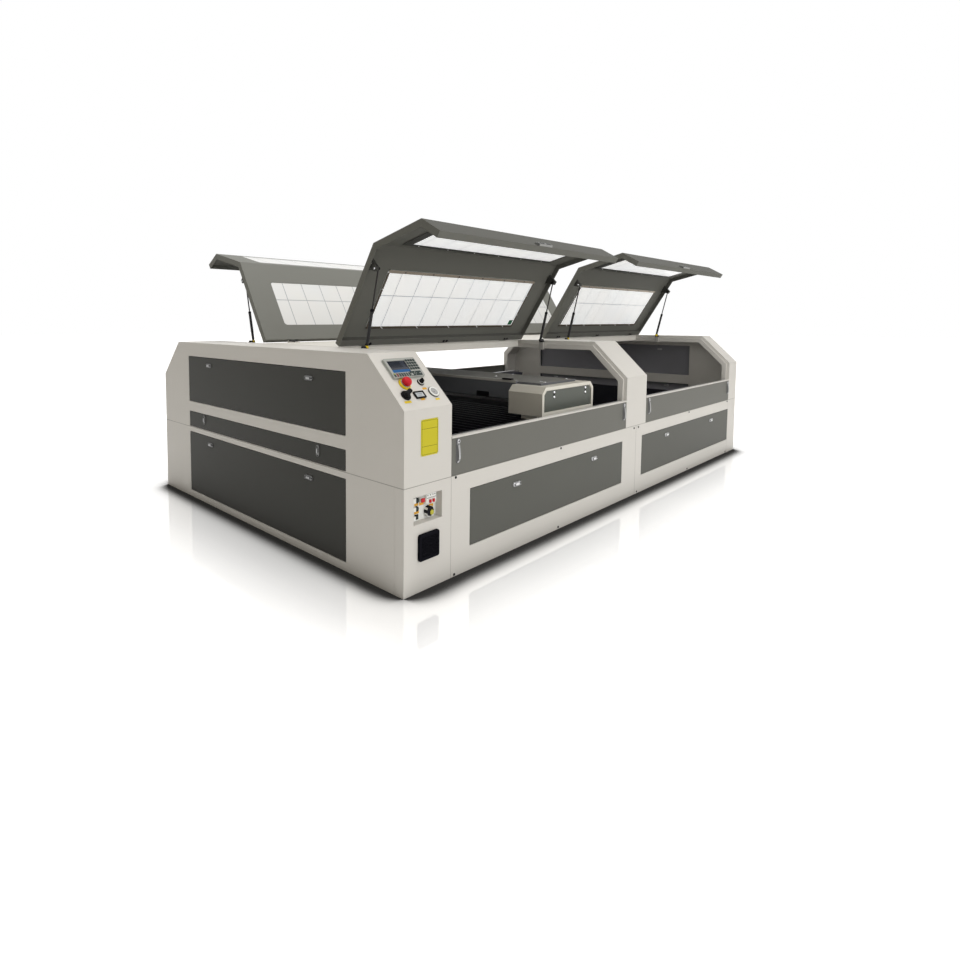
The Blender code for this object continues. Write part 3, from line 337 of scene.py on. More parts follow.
def coatedSheet(name, colour, gloss=0.4, edge=0.003, dust=0.05, shine=0.25, **extras):
    # Extras are seam lines, a painted shade inside, tinted blocks with painted shade under them, a side that faces one
    # way painted lighter or darker as painted light, and metal fittings dulled as painted reflection.
    own = coatLook
    finish, tree, shader = newFinish(name)
    coat = useGroup(tree, powderCoat, {"Colour": (*colour, 1), "Mottle": own["mottle"], "Gloss": gloss})
    fold = useGroup(tree, softEdge, {"Radius": edge})
    # Painted highlight: folded edges are mixed towards a paler copy of the coat
    lift = calc(tree, "MULTIPLY", fold["Mask"], own["edgeHighlightShare"])
    tint = mixed(tree, lift, coat["Colour"], scaled(colour, 1 - own["edgeHighlightPaler"], own["edgeHighlightPaler"]))
    tint = mixed(tree, useGroup(tree, settledDust, {"Amount": dust})["Mask"], tint, own["dustColour"])
    rough = coat["Roughness"]
    axes = axesOf(tree, objectSpot(tree))
    if "lines" in extras:
        lines = largest(tree, [lineMask(tree, axes[axis], *line) for axis, *line in extras["lines"]])
        tint = mixed(tree, calc(tree, "MULTIPLY", lines, own["seamStrength"]), tint, own["seamColour"])
    # Painted shade: the base's inside, within its walls and below its top, is painted a dark blue-grey
    if "inside" in extras:
        inside = extras["inside"]
        masks = [below(tree, calc(tree, "ABSOLUTE", axes[axis]), level) for axis, level in inside["within"]]
        masks += [below(tree, axes[2], inside["below"]), above(tree, axes[2], inside["above"])]
        tint = mixed(tree, together(tree, *masks), tint, inside["colour"])
    # Painted light: faces pointing one way along an axis take another colour, lighter or darker as the light falls on
    # that side
    if "facing" in extras:
        axis, way, turned = extras["facing"]
        normals = axesOf(tree, place(tree, "ShaderNodeTexCoord").outputs["Normal"])
        tint = mixed(tree, above(tree, together(tree, axes[axis], normals[axis], way), 0.3), tint, turned)
    # Painted shade: below the portal's top each strut foot block is painted a darker copy of the coat to blend with the
    # shade round it; above that it is black
    if "blocks" in extras:
        blocks = extras["blocks"]
        across = largest(tree, [calc(tree, "COMPARE", axes[0], x, blocks["halfX"]) for x in blocks["places"]])
        along = calc(tree, "COMPARE", calc(tree, "ABSOLUTE", axes[1]), blocks["fromMiddle"], blocks["halfY"])
        for level, shade in (("under", scaled(colour, own["footPaintedShade"])), ("from", own["blockColour"])):
            tint = mixed(tree, together(tree, across, along, above(tree, axes[2], blocks[level])), tint, shade)
    # Painted reflection: the latch plate and grip metal is given dull greys, the plate darker than the grip, and the
    # last number dims them further on the drop doors and end panels, standing in for the dark surroundings the chrome
    # reflects
    if "fittings" in extras:
        axis, plateLevel, gripLevel, bright = extras["fittings"]
        out = calc(tree, "ABSOLUTE", axes[axis])
        mask = above(tree, out, plateLevel)
        greys = [(own[grey] * bright,) * 3 for grey in ("plateGrey", "gripGrey")]
        tint = mixed(tree, mask, tint, mixed(tree, above(tree, out, gripLevel), *greys))
        rough = mixedNumber(tree, mask, rough, own["fittingRough"])
        tree.links.new(mask, shader.inputs["Metallic"])
    peel = bumped(tree, coat["Height"], own["peelStrength"], own["peelDepth"], fold["Normal"])
    looks = {"Base Color": tint, "Roughness": rough, "Normal": peel, "Specular IOR Level": shine}
    setInputs(tree, shader.inputs, looks)
    return finish


def bareMetal(name, colour, gloss=0.2, stretch=(4.0, 300.0, 300.0)):
    finish, tree, shader = newFinish(name)
    grain = useGroup(tree, brushedGrain, {"Stretch": stretch, "Gloss": gloss})
    fold = useGroup(tree, softEdge, {"Radius": 0.0012})
    looks = {
        "Base Color": mixed(tree, grain["Streak"], scaled(colour, 0.72), colour),
        "Roughness": grain["Roughness"],
        "Normal": bumped(tree, grain["Streak"], 0.08, 0.0003, fold["Normal"]),
        "Metallic": 1.0,
    }
    setInputs(tree, shader.inputs, looks)
    return finish


def mouldedPlastic(name, colour, gloss=0.35, grainStrength=0.15, grainScale=900.0, coat=0.0, shine=0.2):
    finish, tree, shader = newFinish(name)
    grain = noise(tree, grainScale, 2.0)
    fold = useGroup(tree, softEdge, {"Radius": 0.001})
    looks = {
        # Painted highlight: the edges of the plastic are mixed towards a paler copy of its colour
        "Base Color": mixed(tree, calc(tree, "MULTIPLY", fold["Mask"], 0.5), colour, scaled(colour, 1.5, 0.02)),
        "Roughness": calc(tree, "MULTIPLY_ADD", grain, 0.08, gloss),
        "Normal": bumped(tree, grain, grainStrength, 0.0003, fold["Normal"]),
        "Coat Weight": coat,
        "Specular IOR Level": shine,
    }
    setInputs(tree, shader.inputs, looks)
    return finish


# White protective film with a faint printed grid and soft ripples; its emission is painted light, a glow standing in
# for light shining through the film
def protectiveFilm(name, values, paintedGlow):
    finish, tree, shader = newFinish(name)
    axes = axesOf(tree, objectSpot(tree))
    masks = []
    for axis, (cell, phase) in enumerate(values["grid"]):
        part = calc(tree, "FRACT", calc(tree, "DIVIDE", calc(tree, "ABSOLUTE", axes[axis]), cell))
        masks.append(lineMask(tree, part, phase, values["line"] / cell / 2))
    printed = calc(tree, "MULTIPLY", largest(tree, masks), values["printStrength"])
    body = mixed(tree, noise(tree, 3.2, 2.0), values["coolWhite"], values["warmWhite"])
    tint = mixed(tree, printed, body, values["printColour"])
    looks = {
        "Base Color": tint,
        "Emission Color": tint,
        "Emission Strength": paintedGlow,
        "Normal": bumped(tree, noise(tree, 14.0, 3.0), 0.25, 0.002),
        "Roughness": values["rough"],
    }
    setInputs(tree, shader.inputs, looks)
    return finish


# Rails and beam: a dark coat with ground steel in one band of height, and a top of its own colour
def coatWithSteel(name, colour, low, high, coverFrom=None, coverColour=None):
    finish, tree, shader = newFinish(name)
    coat = useGroup(tree, powderCoat, {"Colour": (*colour, 1), "Mottle": 0.08, "Gloss": 0.42})
    grain = useGroup(tree, brushedGrain, {"Stretch": (3.0, 260.0, 260.0), "Gloss": 0.22})
    fold = useGroup(tree, softEdge, {"Radius": 0.002})
    height = axesOf(tree, objectSpot(tree))[2]
    band = together(tree, above(tree, height, low), below(tree, height, high))
    steel = mixed(tree, grain["Streak"], (0.35, 0.35, 0.36), (0.6, 0.6, 0.61))
    body = coat["Colour"]
    if coverFrom:
        top = together(tree, above(tree, upward(tree), 0.5), above(tree, height, coverFrom))
        body = mixed(tree, top, body, coverColour)
    looks = {
        "Base Color": mixed(tree, band, body, steel),
        "Roughness": mixedNumber(tree, band, coat["Roughness"], grain["Roughness"]),
        "Metallic": band,
        "Normal": bumped(tree, coat["Height"], 0.1, 0.0003, fold["Normal"]),
        "Specular IOR Level": 0.2,
    }
    setInputs(tree, shader.inputs, looks)
    return finish


# Slats scorched along their tops
def scorchedSlats(name, values):
    finish, tree, shader = newFinish(name)
    patch = noise(tree, values["patchScale"], 6.0)
    height = axesOf(tree, objectSpot(tree))[2]
    top = ramp(tree, height, values["burnFrom"], values["burnTo"], kind="LINEAR")
    burnt = calc(tree, "MULTIPLY", top, calc(tree, "POWER", patch, 1.4), clamp=True)
    looks = {
        "Base Color": mixed(tree, burnt, values["colour"], values["burntColour"]),
        "Normal": bumped(tree, patch, 0.3, 0.001),
        "Metallic": 0.6,
        "Roughness": 0.5,
    }
    setInputs(tree, shader.inputs, looks)
    return finish


filmLook = {
    "grid": ((0.154, 0.735), (0.200, 0.535)),
    "line": 0.0052,
    "printStrength": 0.8,
    "printColour": (0.27, 0.29, 0.32),
    "coolWhite": (0.74, 0.77, 0.79),
    "warmWhite": (0.80, 0.78, 0.75),
    "rough": 0.4,
}
slatLook = {
    "patchScale": 16.0,
    "burnFrom": 0.47,
    "burnTo": 0.5,
    "colour": (0.010, 0.010, 0.016),
    "burntColour": (0.017, 0.016, 0.021),
}
whiteColour = (0.680, 0.660, 0.622)
seams = {"floorLevel": 0.456, "half": 0.0016, "columnHalf": 0.00112, "moduleJoint": 0.076}
floorSeam = (2, seams["floorLevel"], seams["half"])
# Painted shade: where the white base's inside lies in shade it is painted dark blue-grey
baseInsideShade = {
    "within": ((0, 2.0205), (1, 1.1005)),
    "below": 0.4565,
    "above": 0.004,
    "colour": (0.085, 0.087, 0.120),
}
footBlocks = {
    "places": (-1.7537, -0.0944, 0.2394, 1.8606),
    "halfX": 0.0126,
    "fromMiddle": 0.55,
    "halfY": 0.0156,
    "from": 0.984,
    "under": 0.9320,
}


def whiteBase(name, columnFoot):
    lines = (floorSeam, (0, columnFoot, seams["columnHalf"]), (0, seams["moduleJoint"], seams["half"]))
    return coatedSheet(name, whiteColour, lines=lines, inside=baseInsideShade)


finishes = {
    "whiteEnclosure": coatedSheet("white enclosure coat", whiteColour, lines=(floorSeam,), blocks=footBlocks),
    "whiteBaseLeft": whiteBase("white left base coat", -1.775),
    "whiteBaseRight": whiteBase("white right base coat", 1.882),
    "whitePlain": coatedSheet("white trim coat", whiteColour),
    # Painted light: the spine is the enclosure's white paint, painted brighter so its shaded front reads light
    "spineWhite": coatedSheet("white spine coat", (0.80, 0.775, 0.72)),
    # Painted reflection: the last number of each fittings entry dims the latch metal on that panel, 1.0 here, 0.5 on
    # the drop doors and 0.4 on the end panels
    "accessGrey": coatedSheet(
        "access panel grey coat", (0.122, 0.124, 0.112), shine=0.05, fittings=(1, 1.1504, 1.1570, 1.0)
    ),
    "dropGrey": coatedSheet(
        "drop door grey coat", (0.176, 0.176, 0.160), shine=0.05, fittings=(1, 1.1504, 1.1570, 0.5)
    ),
    # Painted light: the end panels' faces that look into the machine are painted a much lighter bluish grey than
    # outside
    "endGrey": coatedSheet(
        "end panel dark coat",
        (0.048, 0.048, 0.043),
        gloss=0.45,
        shine=0.12,
        fittings=(0, 2.0704, 2.0770, 0.4),
        facing=(0, -1, (0.30, 0.30, 0.335)),
    ),
    # Painted shade: the lid faces that point up when the lid is shut are painted a darker grey than the rest
    "lidGrey": coatedSheet(
        "lid grey coat", (0.165, 0.166, 0.149), gloss=0.45, shine=0.03, facing=(2, 1, (0.10, 0.10, 0.09))
    ),
    # Painted light: the rear lids are the lid paint made lighter than on the front lids
    "rearLidGrey": coatedSheet("rear lid grey coat", (0.225, 0.228, 0.210), gloss=0.45, shine=0.03),
    # Painted light: the housings' faces that point outward along Y are painted a lighter beige, as if lit
    "beige": coatedSheet(
        "gantry beige coat", (0.57, 0.545, 0.48), gloss=0.42, shine=0.1, facing=(1, 1, (0.80, 0.775, 0.70))
    ),
    "clipSteel": coatedSheet("pale zinc", (0.66, 0.66, 0.64), gloss=0.3, edge=0.001),
    "frameDark": coatedSheet("dark window frame coat", (0.060, 0.061, 0.055), gloss=0.45, shine=0.1, edge=0.001),
    "edgeGrey": coatedSheet("beam edge coat", (0.46, 0.45, 0.42), edge=0.001),
    "coverGrey": coatedSheet("gantry cover grey coat", (0.105, 0.115, 0.100), gloss=0.42),
    "beamSlate": coatWithSteel(
        "beam slate coat", (0.130, 0.136, 0.150), 0.6245, 0.6445, 0.6749, (0.155, 0.152, 0.138)
    ),
    "railSteel": coatWithSteel("rail coat and ground guide", (0.06, 0.063, 0.082), 0.5605, 0.60),
    "slats": scorchedSlats("slat steel", slatLook),
    "blackMetal": coatedSheet("black coated metal", (0.014, 0.014, 0.015), gloss=0.28, edge=0.0012, dust=0.02),
    "rodSteel": bareMetal("dark strut rod", (0.030, 0.028, 0.027), 0.3, (300.0, 300.0, 6.0)),
    "chrome": bareMetal("chromed zinc", (0.86, 0.86, 0.87), 0.06, (60.0, 60.0, 60.0)),
    "brightSteel": bareMetal("bright steel", (0.68, 0.68, 0.69), 0.2),
    "aluminium": bareMetal("aluminium strip", (0.30, 0.26, 0.21), 0.3, (6.0, 300.0, 300.0)),
    "brass": bareMetal("brass", (0.72, 0.5, 0.2), 0.18, (200.0, 200.0, 200.0)),
    "pullSteel": bareMetal("dulled pull steel", (0.24, 0.24, 0.23), 0.3),
    "blackPlastic": mouldedPlastic("black plastic", (0.006, 0.006, 0.007), 0.45, shine=0.08),
    "rubber": mouldedPlastic("black rubber", (0.006, 0.006, 0.009), 0.7, grainStrength=0.3, shine=0.03),
    "greyPlastic": mouldedPlastic("controller grey plastic", (0.40, 0.41, 0.385), 0.36),
    "greyDark": mouldedPlastic("dark grey plastic", (0.09, 0.09, 0.09), 0.4),
    "keyGrey": mouldedPlastic("dark key caps", (0.028, 0.042, 0.040), 0.45),
    "palePlastic": mouldedPlastic("pale plastic", (0.50, 0.52, 0.49), 0.35),
    "paleWhite": mouldedPlastic("white plastic", (0.62, 0.62, 0.59), 0.35),
    "satinSilver": mouldedPlastic("satin silver plastic", (0.42, 0.42, 0.42), 0.22, grainStrength=0.02, coat=0.4),
    "liquidCrystal": mouldedPlastic("pale display glass", (0.50, 0.53, 0.55), 0.12, grainStrength=0.0, coat=0.5),
    "darkDisplay": mouldedPlastic("dark display glass", (0.022, 0.026, 0.038), 0.1, grainStrength=0.0, coat=0.6),
    "blueDisplay": mouldedPlastic("lit blue display", (0.012, 0.10, 0.29), 0.3, grainStrength=0.0),
    "dimDisplay": mouldedPlastic("lit grey display", (0.07, 0.085, 0.115), 0.12, grainStrength=0.0, coat=0.5),
    "limePlastic": mouldedPlastic("yellow green key", (0.42, 0.48, 0.06), 0.4, grainStrength=0.05),
    "redPlastic": mouldedPlastic("red plastic", (0.56, 0.008, 0.018), 0.34, grainStrength=0.03),
    "yellowPlastic": mouldedPlastic("yellow plastic", (0.80, 0.58, 0.02), 0.3, grainStrength=0.05),
    "oldYellow": mouldedPlastic("olive yellow plastic", (0.50, 0.46, 0.05), 0.45, grainStrength=0.05),
    "plateYellow": mouldedPlastic("yellow plate", (0.60, 0.53, 0.020), 0.4, grainStrength=0.05),
    "darkRed": mouldedPlastic("dark red key", (0.16, 0.012, 0.014), 0.45, grainStrength=0.05),
    "plateWhite": mouldedPlastic("white switch plate", (0.84, 0.85, 0.82), 0.4),
    "orangePlastic": mouldedPlastic("orange label", (0.76, 0.40, 0.05), 0.5, grainStrength=0.05),
    "greenPlastic": mouldedPlastic("green plastic", (0.01, 0.12, 0.05), 0.3),
    "acrylic": mouldedPlastic("acrylic sheet edge", (0.62, 0.65, 0.64), 0.15, grainStrength=0.02),
    "brownPaper": mouldedPlastic("brown paper tape", (0.085, 0.070, 0.052), 0.6, grainScale=300.0),
    # Painted light: the films glow by their emission, most on the slope, less on the inner side and hardly at all
    # outside
    "filmInside": protectiveFilm("protective film inside", filmLook, 0.53),
    "filmSlope": protectiveFilm("protective film on the slope", filmLook, 0.68),
    "filmOutside": protectiveFilm("protective film outside", filmLook, 0.02),
}
print("finishes built:", len(finishes))


# The floor keeps the object's real shadow, takes a painted contact shadow from ambient occlusion close to the machine,
# and turns white where nothing shades it
def addFloor(values):
    finish, tree, shader = newFinish("pale studio floor")
    spot = objectSpot(tree)
    shades = [scaled(values["floorColour"], 1 + way * values["floorSway"]) for way in (-1, 1)]
    tint = mixed(tree, noise(tree, 0.8, 2.0, spot), *shades)
    # Painted shadow: ambient occlusion darkens the floor's colour towards the contact shadow colour and dims its glow
    # close to the machine
    shading = {"Distance": values["contactShadowReach"]}
    unshaded = place(tree, "ShaderNodeAmbientOcclusion", shading, samples=values["contactShadowSamples"]).outputs["AO"]
    clear = ramp(tree, unshaded, values["contactShadowFrom"], values["contactShadowTo"])
    oval = vectorCalc(tree, "MULTIPLY", {0: spot, 1: (0.5, 1.0, 0.0)})
    reach = vectorCalc(tree, "LENGTH", {0: oval}, "Value")
    glow = ramp(tree, reach, values["shadowReach"], values["whiteReach"], values["floorGlow"], 1.0)
    looks = {
        "Base Color": mixed(tree, clear, values["contactShadowColour"], tint),
        "Roughness": values["floorRough"],
        "Specular IOR Level": 0.0,
        "Emission Color": (1, 1, 1, 1),
        "Emission Strength": together(tree, seenDirectly(tree), glow, clear),
    }
    setInputs(tree, shader.inputs, looks)
    halves = (machine["halfLength"], machine["halfWidth"])
    axes = axesOf(tree, spot)
    beyond = [calc(tree, "SUBTRACT", calc(tree, "ABSOLUTE", axes[axis]), half) for axis, half in enumerate(halves)]
    near = ramp(tree, largest(tree, beyond), 0.0, values["mirrorReach"], values["mirrorShare"], 0.0)
    mirror = place(tree, "ShaderNodeBsdfGlossy", {"Color": (1, 1, 1, 1), "Roughness": values["mirrorRough"]})
    surfaces = {0: together(tree, near, clear), 1: shader.outputs[0], 2: mirror.outputs[0]}
    both = place(tree, "ShaderNodeMixShader", surfaces)
    tree.links.new(both.outputs[0], tree.nodes["Material Output"].inputs["Surface"])
    shape = bmesh.new()
    bmesh.ops.create_grid(shape, x_segments=8, y_segments=8, size=values["floorSize"] / 2)
    mesh = bpy.data.meshes.new("floor")
    shape.to_mesh(mesh)
    shape.free()
    mesh.materials.append(finish)
    floor = bpy.data.objects.new("floor", mesh)
    scene.collection.objects.link(floor)


def addWorld(values):
    world = bpy.data.worlds.new("studioWorld")
    world.use_nodes = True
    scene.world = world
    tree = world.node_tree
    seen = seenDirectly(tree)
    looks = {
        "Color": mixed(tree, seen, values["worldTint"], (1, 1, 1)),
        "Strength": mixedNumber(tree, seen, values["worldLight"], 1.0),
    }
    setInputs(tree, tree.nodes["Background"].inputs, looks)


addFloor(studio)
addWorld(studio)
print("studio set")


# Mesh helpers
def around(middle, half):
    return (middle - half, middle + half)


def grown(pair, amount):
    return (pair[0] - amount, pair[1] + amount)


def moved(shape, made, where):
    bmesh.ops.transform(shape, matrix=where, verts=list({vert for part in made for vert in part.verts}))


def outward(x, y, z, side=-1):
    # Turns a shape's Z to -Y, or to +Y on the other side.
    return Matrix.Translation((x, y, z)) @ Matrix.Rotation(-side * math.pi / 2, 4, "X")


def addPrism(shape, outline, axis, low, high):
    spots = {
        "X": lambda a, b, level: (level, a, b),
        "Y": lambda a, b, level: (a, level, b),
        "Z": lambda a, b, level: (a, b, level),
    }[axis]
    rings = [[shape.verts.new(spots(*point, level)) for point in outline] for level in sorted((low, high))]
    made = [shape.faces.new(rings[0]), shape.faces.new(rings[1])]
    for index in range(len(outline)):
        after = (index + 1) % len(outline)
        made.append(shape.faces.new((rings[0][index], rings[0][after], rings[1][after], rings[1][index])))
    bmesh.ops.recalc_face_normals(shape, faces=made)
    return made


def boxOutline(xs, ys):
    (lowX, highX), (lowY, highY) = sorted(xs), sorted(ys)
    return [(lowX, lowY), (highX, lowY), (highX, highY), (lowX, highY)]


def addBox(shape, xs, ys, zs):
    return addPrism(shape, boxOutline(xs, ys), "Z", *zs)


def roundedOutline(xs, ys, radius, steps=4):
    (lowX, highX), (lowY, highY) = grown(sorted(xs), -radius), grown(sorted(ys), -radius)
    outline = []
    for quarter, (x, y) in enumerate(((highX, highY), (lowX, highY), (lowX, lowY), (highX, lowY))):
        for step in range(steps + 1):
            turn = (quarter + step / steps) * math.pi / 2
            outline.append((x + radius * math.cos(turn), y + radius * math.sin(turn)))
    return outline


def ovalOutline(x, y, length, width, steps=3):
    end = min(length, width) / 2 * 0.98
    return roundedOutline(around(x, length / 2), around(y, width / 2), end, steps)


def circleOutline(x, y, radius, steps):
    turns = [math.tau * step / steps for step in range(steps)]
    return [(x + radius * math.cos(turn), y + radius * math.sin(turn)) for turn in turns]


def ringOutline(inner, outer, low, high):
    return [(inner, low), (outer, low), (outer, high), (inner, high)]


def addTurned(shape, outline, steps=24, where=None):
    # Points are radius and height; a point with radius 0 closes the end.
    rings = []
    for radius, height in outline:
        points = circleOutline(0, 0, radius, steps) if radius else [(0, 0)]
        rings.append([shape.verts.new((*point, height)) for point in points])
    made = []
    pairs = list(zip(rings, rings[1:]))
    if outline[0][0] > 0:
        pairs.append((rings[-1], rings[0]))
    for lower, upper in pairs:
        for step in range(steps):
            after = (step + 1) % steps
            corners = [lower[step % len(lower)], lower[after % len(lower)]]
            corners += [upper[after % len(upper)], upper[step % len(upper)]]
            made.append(shape.faces.new(list(dict.fromkeys(corners))))
    bmesh.ops.recalc_face_normals(shape, faces=made)
    if where is not None:
        moved(shape, made, where)


def addFrameRing(shape, outer, inner, low, high):
    # A flat frame between two outlines with the same number of points.
    rings = []
    for outline, level in ((outer, low), (outer, high), (inner, high), (inner, low)):
        rings.append([shape.verts.new((x, y, level)) for x, y in outline])
    made = []
    for near, after in zip(rings, rings[1:] + rings[:1]):
        for index in range(len(near)):
            following = (index + 1) % len(near)
            made.append(shape.faces.new((near[index], near[following], after[following], after[index])))
    bmesh.ops.recalc_face_normals(shape, faces=made)
    return made


def finishPiece(shape, name, finish, body, where=None, bevel=0.0):
    if bevel > 0:
        sharp = [edge for edge in shape.edges if edge.is_manifold and edge.calc_face_angle(0) > 0.6]
        bmesh.ops.bevel(shape, geom=sharp, offset=bevel, segments=2, affect="EDGES", clamp_overlap=True)
    mesh = bpy.data.meshes.new(name)
    shape.to_mesh(mesh)
    shape.free()
    mesh.materials.append(finishes[finish])
    mesh.shade_smooth()
    mesh.set_sharp_from_angle(angle=math.radians(35))
    piece = bpy.data.objects.new(name, mesh)
    scene.collection.objects.link(piece)
    if where is not None:
        piece.matrix_world = where
    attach(piece, body)
    return piece


# Finishes of the construction's own pieces, by name or by what names have in common
wearing = {
    "whiteEnclosure": ("left_enclosure", "right_enclosure", "center_portal"),
    "whiteBaseLeft": ("base_left", "switch_column"),
    "whiteBaseRight": ("base_right",),
    "spineWhite": ("top_spine",),
    "plateWhite": ("switch_panel",),
    "rubber": ("fan_grille",),
    "blackPlastic": ("panel_meter", "key_switch", "selector_knob"),
    "railSteel": ("front_rail", "rear_rail"),
    "slats": ("slat_bed",),
    "greyPlastic": ("control_panel",),
    "brightSteel": ("laser_head",),
    "redPlastic": ("emergency_stop",),
    "beamSlate": ("gantry_beam",),
    "beige": ("gantry_front_housing", "gantry_rear_housing"),
    "blackMetal": ("head_carriage", "*_strut_*_tube"),
    "rodSteel": ("*_strut_*_rod",),
    "accessGrey": ("*_access_panel",),
    "dropGrey": ("*_drop_door",),
    "endGrey": ("left_*_panel", "right_*_panel"),
    "lidGrey": ("front_*_lid",),
    "rearLidGrey": ("rear_*_lid",),
    "acrylic": ("*_lid_window_sheet",),
}
for finish, patterns in wearing.items():
    for pattern in patterns:
        for name in fnmatch.filter(list(frame["nodes"]), pattern):
            for slot in frame["nodes"][name].material_slots:
                slot.material = finishes[finish]
print("construction dressed")


# Places on the machine
faceTurns = {"front": 0.0, "rear": math.pi, "left": -math.pi / 2, "right": math.pi / 2}


def onFace(face, along, height):
    # A frame whose X runs along the face and whose -Y points out of it.
    if face in faces:
        side = -1 if face == "front" else 1
        spot = Vector((along, side * machine["halfWidth"], height))
    else:
        side = -1 if face == "left" else 1
        spot = Vector((side * machine["halfLength"], along, height))
    return Matrix.Translation(spot) @ Matrix.Rotation(faceTurns[face], 4, "Z")


def lidPlace(face, module):
    # The shut lid's own frame: origin on its hinge line, as it stands open.
    joint = joints[f"{face}_{module}_lid_hinge"]
    side = joint["axis"][0]
    spot = Vector((0, joint["pos_m"][1], joint["pos_m"][2]))
    opened = math.radians(joint["range_deg"][1])
    return side, Matrix.Translation(spot) @ Matrix.Rotation(-side * opened, 4, "X")


# Lids: film on the windows, strips, clips, hinge barrels, handle, strut brackets
lidParts = {
    "skin": 0.003,
    "proud": 0.018,
    "gap": 0.003,
    "hingeRise": 0.008,
    "hingeFromFront": 0.803,
    "edgeFromFront": 0.795,
    "depth": 0.034,
    "flangeBottom": 0.652,
    "endMargin": 0.180,
    "hingeMargin": 0.115,
    "bendMargin": 0.146,
    "slopeMargin": 0.055,
    "slopeFlangeMargin": 0.022,
    "corner": 0.020,
    "lap": 0.015,
    "sheet": 0.004,
    "sheetGap": 0.0003,
    "filmThickness": 0.0003,
    "filmOff": 0.0001,
    "filmInset": 0.001,
    "stripThickness": 0.0025,
    "frameThickness": 0.0016,
    "frameWidth": 0.040,
    "paperWidth": 0.0145,
    "screwRadius": 0.0036,
    "screwHeight": 0.0024,
    "clipLength": 0.026,
    "clipWidth": 0.006,
    "clipThickness": 0.002,
    "clipTurn": 35.0,
    "barrelRadius": 0.0085,
    "pinRadius": 0.0079,
    "knuckleLength": 0.024,
    "knuckleGap": 0.0003,
    "hingeShares": (0.12, 0.50, 0.88),
    "hingeScrewSpread": 0.014,
    "hingeScrewRadius": 0.0092,
    "hingeScrewHeight": 0.003,
    "hingeScrewFromEdge": 0.0105,
    "bracketAlong": 0.4824,
    "bracketDrop": 0.0496,
    "bracketFoot": 0.0586,
    "bracketHalf": 0.031,
    "bracketTip": 0.012,
    "bracketNear": 0.014,
    "bracketFar": 0.0338,
    "boltRadius": 0.0048,
    "boltHeight": 0.0012,
    "boltSpread": 0.013,
    "boltDrop": 0.016,
    "handleLength": 0.124,
    "handleRise": 0.034,
    "handleReach": 0.0135,
    "pocketHalf": 0.022,
}


def screwHead(shape, where, radius, height):
    rim, socket, floor = radius * 0.75, radius * 0.3, height * 0.55
    outline = [(0, 0), (radius, 0), (radius, height * 0.5), (rim, height), (socket, height), (socket, floor), (0, floor)]
    addTurned(shape, outline, 12, where)


